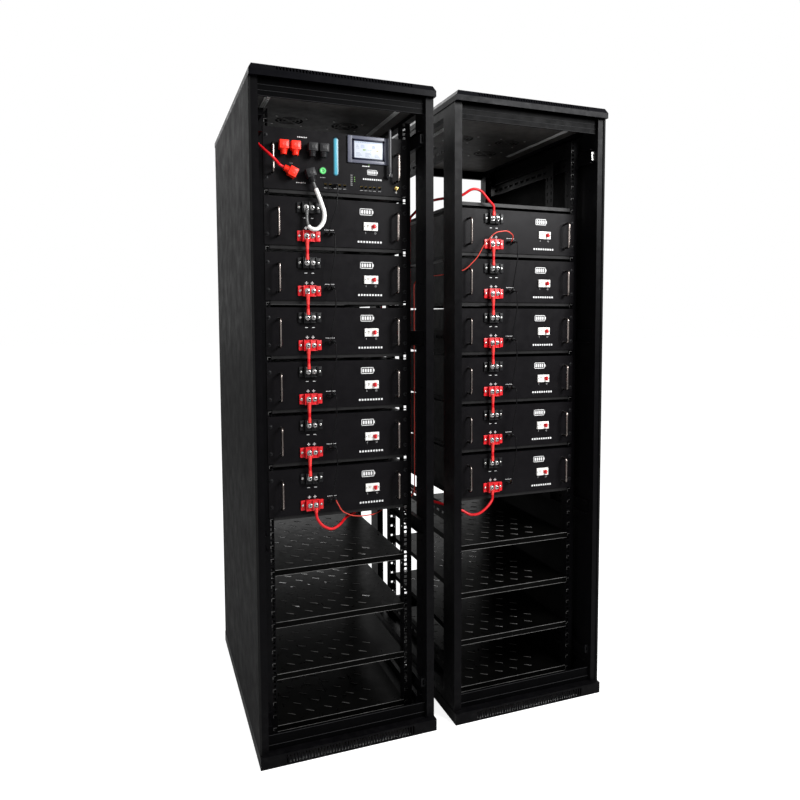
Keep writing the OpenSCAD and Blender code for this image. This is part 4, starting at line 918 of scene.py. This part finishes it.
at = near(BOX_HOME, STUD[0], 0, STUD[1])
stud = Piece("Earth_Stud", [BRASS])
threads = [(3.0 - 0.35 * (i % 2), -15.2 + 0.5 * i) for i in range(21)]
stud.add(turned([(0, -16), (2.3, -16)] + threads + [(3.0, 12), (0, 12)], 24), at)
stud.add(turned([(2.9, -5), (4.4, -5), (4.9, -4.5), (5.2, -4), (5.2, -1.2), (2.9, -1.2)], 6), at, None, spin(8))
stud.add(turned([(2.9, -1.2), (5.6, -1.2), (5.8, -0.9), (5.8, 0), (2.9, 0)], 28), at)
stud.make(replaces=["earth_stud"], slot="brass")

# ---- rack screws with cross recesses in painted shade, and cage nuts behind them ----
HOLE_HALF = 465.1 / 2
SCREW_HEAD = turned([(0, -3.2), (3.4, -3.1), (5.0, -2.3), (5.5, -1.0), (5.5, 0), (0, 0)], 24)
SCREW_WASH = turned([(3, -0.9), (7.0, -0.9), (7.3, -0.6), (7.3, 0), (3, 0)], 28)
# ARM_A and ARM_B are black bars on the heads: painted shade for the cross recesses
ARM_A = rbox((-2.6, -3.3, -0.55), (2.6, -2.7, 0.55), 0.1, 1)
ARM_B = rbox((-0.55, -3.3, -2.6), (0.55, -2.7, 2.6), 0.1, 1)
screws = Piece("Rack_Screws", [BLACK_ZINC, SHADE_AND_PRINT_BLACK])
RACK_U = 44.45
slot0 = 6.35 - (6.35 + RACK_U - PANEL_H / 2)
places = [near(home, s * HOLE_HALF, 0, slot0 + m * RACK_U) for _, _, home in HOMES
          for s in (-1, 1) for m in (0, 2)]
places += [near(BOX_HOME, s * HOLE_HALF, 0, slot0 + m * RACK_U) for s in (-1, 1) for m in (0, 3)]
for n, place in enumerate(places):
    screws.add(SCREW_WASH, place, BLACK_ZINC)
    screws.add(SCREW_HEAD, place, BLACK_ZINC)
    screws.add(cap_rod(2.9, 0, 14, 0.4, 12), place, BLACK_ZINC)
    for shape in (ARM_A, ARM_B):
        screws.add(shape, place, SHADE_AND_PRINT_BLACK, spin(19 * n))
screws.make(replaces=["rack_screws"], slot="zinc")

nuts = Piece("Cage_Nuts", [BLACK_ZINC])
for place in places:
    at = near(place, 0, 4.7, 0)
    nuts.add(rbox((-6.2, 0, -5.6), (6.2, 5.5, 5.6), 0.6), at)
    for s in (-1, 1):
        nuts.add(rbox((s * 6.4 - 0.4, -1.6, -4), (s * 6.4 + 0.4, 4, 4), 0.2, 1), at)
nuts.make(slot="zinc")


# ---- printed marks: generic signs only ----
INK_Y0, INK_Y1 = -0.14, 0.06
marks = Piece("Front_Marks", [INK, INK_DIM])


def mark(home, outline, mat=INK):
    marks.add(extruded(outline, INK_Y0, INK_Y1), home, mat)


def bar(home, x0, z0, x1, z1, mat=INK):
    mark(home, rounded(x0, z0, x1, z1, min(x1 - x0, z1 - z0) * 0.25, 2), mat)


def battery_icon(home, x, z, s):
    """The usual battery sign: a case, its knob and its charge bars."""
    for x0, z0, x1, z1 in ((-20, -10, 20, -8), (-20, 8, 20, 10), (-20, -10, -18, 10), (18, -10, 20, 10),
                           (20, -4, 23, 4)):
        bar(home, x + x0 * s, z + z0 * s, x + x1 * s, z + z1 * s)
    for i in range(4):
        bar(home, x + (-15.5 + 8 * i) * s, z - 5.5 * s, x + (-10 + 8 * i) * s, z + 5.5 * s)


def bar_row(home, x0, z0, x1, h, count=9):
    """A row of even dashes."""
    step = (x1 - x0) / count
    for i in range(count):
        bar(home, x0 + i * step, z0, x0 + (i + 0.62) * step, z0 + h)


for _, _, home in HOMES:
    battery_icon(home, 96, 120, 1.1)
    bar_row(home, 66, 17, 154, 6.5)
    for x in (-108, -89):
        bar(home, x - 5, 55.9, x + 5, 58.1)
        bar(home, x - 1.1, 52, x + 1.1, 62)
    for x in (-110, -87):
        bar(home, x - 4.5, 88.4, x + 4.5, 90.2)
    for i in range(7):
        bar(home, -47 + i * 4.7, 53, -44.2 + i * 4.7, 55)
    bar(home, 93.4, 47.4, 94.6, 53.4, INK_DIM)
    mark(home, arc(128, 50.4, 3.2, 0, 360, 18) + arc(128, 50.4, 2.2, 360, 0, 18), INK_DIM)
battery_icon(BOX_HOME, 118, 74, 0.85)
bar_row(BOX_HOME, 86, 48, 154, 5.5)
for i in range(6):
    bar(BOX_HOME, -132 + i * 5.4, 167, -128.2 + i * 5.4, 170)
    bar(BOX_HOME, -138 + i * 5.4, 22, -134.4 + i * 5.4, 25)
for i in range(4):
    bar(BOX_HOME, -59 + i * 4.6, 44.5, -56 + i * 4.6, 46.5, INK_DIM)
    bar(BOX_HOME, 84 + i * 6.5, 91.5, 89 + i * 6.5, 94.5)
for x, z in PORT_ROW:
    for i in range(3):
        bar(BOX_HOME, x - 5 + i * 3.6, 11.6, x - 2.6 + i * 3.6, 13.4, INK_DIM)
for i in range(6):
    bar(BOX_HOME, 43, 27 + i * 6.5, 50, 28.6 + i * 6.5, INK_DIM)
bar(BOX_HOME, 199, 13.4, 207, 14.4)
bar(BOX_HOME, 200.5, 11.4, 205.5, 12.4)
bar(BOX_HOME, 202, 9.4, 204, 10.4)
bar(BOX_HOME, 202.5, 14.4, 203.5, 17.4)
for x in (-156, -150):
    bar(BOX_HOME, x - 2, 83, x + 2, 84, INK_DIM)
marks.make(slot="plastic_white")

leds = Piece("Status_Lights", [GREEN_LED, PLASTIC_BLACK])
for i in range(6):
    place = near(BOX_HOME, 57, 0, 28 + i * 6.5)
    leds.add(cap_rod(1.5, -1.4, 1, 0.6, 16), place, GREEN_LED if i in (2, 3, 4) else PLASTIC_BLACK)
leds.add(cap_rod(1.6, -1.4, 1, 0.6, 16), near(BOX_HOME, 107, 0, 97.5), GREEN_LED)
for s in (-1, 1):
    leds.add(cap_rod(1.6, -1.4, 1, 0.6, 16), near(BOX_HOME, -152 + 5 * s, 0, 88), PLASTIC_BLACK)
leds.make(slot="button_green")

# ---- fans above the ceiling ----
ceiling_low, ceiling_high = box_mm("ceiling_panels")
FAN_PITCH = 204.0
fans = Piece("Fan_Grilles", [PLASTIC_BLACK, ZINC])
BLADES, BLADE_LEAN, FAN_BOLT = 7, 0.18, 52.5
z, mid_y = ceiling_high[2], (ceiling_low[1] + ceiling_high[1]) / 2
FAN_RIM = turned([(53, z + 1), (57, z + 1), (57, z + 8), (53, z + 8), (53, z + 1)], 40, "z")
FAN_HUB = turned([(0, z + 1.5), (18, z + 1.5), (19, z + 2.5), (19, z + 8), (0, z + 8)], 32, "z")
FAN_BLADE = rbox((18, -11, z + 3), (51, 11, z + 4.2), 0.4, 1)
FAN_BLADE[0][:, 2] += FAN_BLADE[0][:, 1] * BLADE_LEAN
FAN_SCREW = turned([(0, -2.2), (3.2, -1.9), (4.4, -0.6), (4.4, 0), (0, 0)], 16, "z")
for middle in SIDE_X:
    for sx in (-0.5, 0.5):
        for sy in (-0.5, 0.5):
            at = np.array([middle + sx * FAN_PITCH, mid_y + sy * FAN_PITCH, 0])
            fans.add(FAN_RIM, at, PLASTIC_BLACK)
            fans.add(FAN_HUB, at, PLASTIC_BLACK)
            for i in range(BLADES):
                fans.add(FAN_BLADE, at, PLASTIC_BLACK, spin(360 / BLADES * i, "z"))
            for x in (-FAN_BOLT, FAN_BOLT):
                for y in (-FAN_BOLT, FAN_BOLT):
                    fans.add(FAN_SCREW, near(at, x, y, ceiling_low[2]), ZINC)
fans.make(slot="plastic_black")

# ---- pieces that start from a CAD node's own shape ----
def like_node(name, node, mats):
    """A new piece with a copy of the node's mesh, in the first material."""
    mesh = NODES[node].data.copy()
    mesh.name = name
    mesh.materials.clear()
    for mat in mats:
        mesh.materials.append(mat)
    mesh.polygons.foreach_set("material_index", [0] * len(mesh.polygons))
    obj = bpy.data.objects.new(name, mesh)
    bpy.context.scene.collection.objects.link(obj)
    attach(obj, ROOT)
    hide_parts(node)
    return mesh


# Battery shelves: the folded lip is drawn shallower and set back, so that a dark gap shows round it
PITCH = 4 * RACK_U * MM
LIP, LIP_BACK = 0.012, 0.005
shelf_mesh = like_node("Battery_Shelves", "battery_shelves", [SHELF_BLACK, SHELF_LIP_LIT])
shelf_low, shelf_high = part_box("battery_shelves")
for vert in shelf_mesh.vertices:
    drop = (shelf_high[2] - vert.co.z + 0.001) % PITCH - 0.001
    if drop > 0.010:
        vert.co.z += drop - LIP
    if vert.co.y < shelf_low[1] + 0.002:
        vert.co.y += LIP_BACK
# the lips' front faces take the lighter copy: painted light on the lips
for face in shelf_mesh.polygons:
    if face.normal.y < -0.9 and face.center.y < shelf_low[1] + LIP_BACK + 0.0002:
        face.material_index = 1

# Front frames: the cross rails stand a little behind the posts; their ends lie RAIL_END from the middle
FRAME_LOW, FRAME_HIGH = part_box("front_frames")
frame_mesh = like_node("Front_Frames", "front_frames", [FRAME_BLACK, FRAME_RAIL_SHADE])
SEAM, RAIL_BACK, RAIL_END = 0.00002, 0.014, 0.27098
post_in = [abs(x * MM) + s * RAIL_END for x in SIDE_X for s in (-1, 1)]
on_rail = [min(abs(abs(vert.co.x) - x) for x in post_in) < SEAM / 2 for vert in frame_mesh.vertices]
for vert in frame_mesh.vertices:
    if on_rail[vert.index] and vert.co.y < FRAME_LOW[1] + 0.001:
        vert.co.y += RAIL_BACK
# the cross rails take the darker copy: painted shade on the rails
for face in frame_mesh.polygons:
    face.material_index = 1 if all(on_rail[i] for i in face.vertices) else 0

# Door strikes: the upper one on the right cabinet is bright
strikes_mesh = like_node("Door_Strikes", "door_strikes", [BLACK_ZINC, ZINC])
for face in strikes_mesh.polygons:
    face.material_index = 1 if face.center.x > 0 and face.center.z > 1 else 0

# ---- painted highlights along edges: folds of shelves and cross rails, slot lips, rail holes ----
edges = Piece("Edge_Highlights", [EDGE_HIGHLIGHT, FOLD_HIGHLIGHT])
RAIL_FOLD = cap_rod(0.8, -269, 269, 0.2, 8, "x")
RAIL_FACE, TOP_RAIL_H = (FRAME_LOW[1] + RAIL_BACK) / MM, 51.0
for x in SIDE_X:
    for start, ups in ((FRAME_HIGH[2] / MM - TOP_RAIL_H, (0.8, 17, 34)), (FRAME_LOW[2] / MM, (17, 50))):
        for up in ups:
            edges.add(RAIL_FOLD, (x, RAIL_FACE, start + up), FOLD_HIGHLIGHT)
spare_low, spare_high = box_mm("spare_shelves")
SHELF_W, SLOT_X, SLOT_Y, SLOT_MARGIN = 450.0, 64.0, 62.0, 56.0
rows = int((spare_high[1] - spare_low[1] - 2.5 - 2 * SLOT_MARGIN) // SLOT_Y) + 1
SLOT_LIP = rbox((-14.5, 2.3, -0.4), (14.5, 3.1, 1.1), 0.3, 1)
FOLD = cap_rod(0.7, -SHELF_W / 2 + 1, SHELF_W / 2 - 1, 0.2, 8, "x")
for middle in SIDE_X:
    for n in range(4):
        top = spare_high[2] - n * 4 * RACK_U
        for row in range(rows):
            for i in range(5):
                x = middle - SHELF_W / 2 + SLOT_MARGIN + (i + (row % 2) / 2) * SLOT_X
                edges.add(SLOT_LIP, (x, spare_low[1] + SLOT_MARGIN + row * SLOT_Y, top), EDGE_HIGHLIGHT,
                          spin(-38, "z"))
        for z in (top - 0.3, top - 19.6):
            edges.add(FOLD, (middle, spare_low[1] + 0.4, z), EDGE_HIGHLIGHT)
rail_low, rail_high = box_mm("rack_rails")
HOLE, RAIL_END_CLEAR = 4.75, 12
HOLE_RIMS = [rbox((-HOLE - 0.5, -0.25, -HOLE), (-HOLE + 0.2, 0.3, HOLE), 0.0),
             rbox((-HOLE, -0.25, HOLE - 0.2), (HOLE, 0.3, HOLE + 0.5), 0.0)]
hole_z = [HOMES[0][2][2] + slot0 + m * RACK_U for m in range(-60, 60)]
hole_z = [z for z in hole_z if rail_low[2] + RAIL_END_CLEAR < z < rail_high[2] - RAIL_END_CLEAR]
for middle in SIDE_X:
    for s in (-1, 1):
        for z in hole_z:
            for rim in HOLE_RIMS:
                edges.add(rim, (middle + s * HOLE_HALF, rail_low[1], z), EDGE_HIGHLIGHT)
edges.make(slot="zinc")

# ---- louvred strips along the ceilings' sides, near-white as painted light ----
louvres = Piece("Ceiling_Louvres", [LOUVRE_LIGHT_PAINT])
LOUVRE = rbox((-2.5, -1.9, -1.6), (2.5, 1.9, 0.2), 0.4, 1)
LOUVRE_ROWS, LOUVRES, LOUVRE_X, LOUVRE_Y = 3, 92, 6.4, 6.2
for middle in SIDE_X:
    for s in (-1, 1):
        for row in range(LOUVRE_ROWS):
            for i in range(LOUVRES):
                place = (middle + s * (ceiling_high[0] - SIDE_X[1] - 46 - row * LOUVRE_X),
                         ceiling_low[1] + 24 + i * LOUVRE_Y, ceiling_low[2])
                louvres.add(LOUVRE, place, LOUVRE_LIGHT_PAINT, spin(s * 30, "z"))
louvres.make(slot="zinc")

# ---- CAD nodes that stay: finish by node ----
NODE_FINISH = {
    "left_base": FRAME_BLACK, "right_base": FRAME_BLACK, "left_roof": ROOF_BLACK, "right_roof": ROOF_BLACK,
    "ceiling_panels": CEILING_LIT_GREY, "rear_frames": FRAME_BLACK,
    "left_side_panel": SIDE_BLACK, "right_side_panel": SIDE_BLACK, "rack_rails": FRAME_BLACK,
    "side_braces": FRAME_BLACK, "cable_strip": FRAME_BLACK, "spare_shelves": SHELF_BLACK,
    "battery_cases": CASE_BLACK,
    "battery_panels": FACE_BLACK, "rack_ears": FACE_BLACK, "battery_cells": CELL_BLUE,
    "busbar_frames": COPPER, "bms_boards": BOARD_GREEN, "control_case": CASE_BLACK,
    "control_panel": FACE_BLACK, "control_internals": DEVICE_GREY,
}
for name, mat in NODE_FINISH.items():
    for holder in NODES[name].material_slots:
        holder.material = mat

# ---- floor, world and lamps ----
def coloured(tree, kind, level):
    """A shader node in an even grey."""
    node = tree.nodes.new(kind)
    node.inputs["Color"].default_value = (level, level, level, 1)
    return node


def split_by_ray(tree, kinds, other, shown, output):
    """Rays of the given kinds meet the shader shown, and all the rest meet the other."""
    rays = tree.nodes.new("ShaderNodeLightPath")
    factor = rays.outputs[f"Is {kinds[0]} Ray"]
    for kind in kinds[1:]:
        factor = combined(tree, "MAXIMUM", factor, rays.outputs[f"Is {kind} Ray"])
    choose = tree.nodes.new("ShaderNodeMixShader")
    for source, socket in zip((factor, other.outputs[0], shown.outputs[0]), choose.inputs):
        tree.links.new(source, socket)
    tree.links.new(choose.outputs[0], tree.nodes[output].inputs["Surface"])


floor_mesh = bpy.data.meshes.new("Floor")
(left_low, left_high), (right_low, right_high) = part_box("left_base"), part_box("right_base")
FAR = 40
grid_x = [-FAR, left_low[0], left_high[0], right_low[0], right_high[0], FAR]
grid_y = [-FAR, left_low[1], left_high[1], FAR]
wide = len(grid_x)
floor_mesh.from_pydata([(x, y, 0) for y in grid_y for x in grid_x], [],
                       [(j * wide + i, j * wide + i + 1, (j + 1) * wide + i + 1, (j + 1) * wide + i)
                        for j in range(len(grid_y) - 1) for i in range(wide - 1)])
floor = bpy.data.objects.new("Floor", floor_mesh)
floor.location.z = -0.0005
bpy.context.scene.collection.objects.link(floor)
floor_mat = bpy.data.materials.new("floor_white")
floor_mat.use_nodes = True
tree = floor_mat.node_tree
tree.nodes.remove(tree.nodes["Principled BSDF"])
diffuse = coloured(tree, "ShaderNodeBsdfDiffuse", 0.72)
shadow = coloured(tree, "ShaderNodeBsdfDiffuse", 0.45)
glow = coloured(tree, "ShaderNodeEmission", 1.0)
glow.inputs["Strength"].default_value = 0.87
both = tree.nodes.new("ShaderNodeAddShader")
tree.links.new(shadow.outputs[0], both.inputs[0])
tree.links.new(glow.outputs[0], both.inputs[1])
split_by_ray(tree, ("Camera", "Transmission"), diffuse, both, "Material Output")
floor_mesh.materials.append(floor_mat)
# the floor cells under the cabinets get a darker grey and no glow: painted shade under the bases
floor_mesh.materials.append(finish("floor_painted_shade", (0.3, 0.3, 0.3), 0.8, spec=0.1))
SHADED_FLOOR_CELLS = (6, 8)
for n in SHADED_FLOOR_CELLS:
    floor_mesh.polygons[n].material_index = 1

world = bpy.data.worlds.new("World")
bpy.context.scene.world = world
world.use_nodes = True
back = world.node_tree.nodes["Background"]
back.inputs["Color"].default_value = (1, 1, 1, 1)
ambient = coloured(world.node_tree, "ShaderNodeBackground", 1.0)
ambient.inputs["Strength"].default_value = 0.36
split_by_ray(world.node_tree, ("Camera", "Glossy", "Transmission"), ambient, back, "World Output")


def area_light(name, place, aim, size, power, tone=(1, 1, 1)):
    data = bpy.data.lights.new(name, "AREA")
    data.shape = "RECTANGLE"
    data.size, data.size_y = size
    data.energy = power
    data.color = tone
    obj = bpy.data.objects.new(name, data)
    obj.location = place
    obj.rotation_euler = (Vector(aim) - Vector(place)).to_track_quat("-Z", "Y").to_euler()
    bpy.context.scene.collection.objects.link(obj)


area_light("Key", (1.35, -2.3, 2.75), (0.2, -0.3, 1.6), (1.1, 1.1), 150)
area_light("Side", (-4.0, -1.6, 2.2), (-0.3, 0, 1.0), (2.5, 2.5), 62)
area_light("Back", (0.5, 4.0, 3.5), (0, 0, 1.0), (3.0, 2.0), 60)

scene = bpy.context.scene
scene.view_settings.view_transform = "Standard"
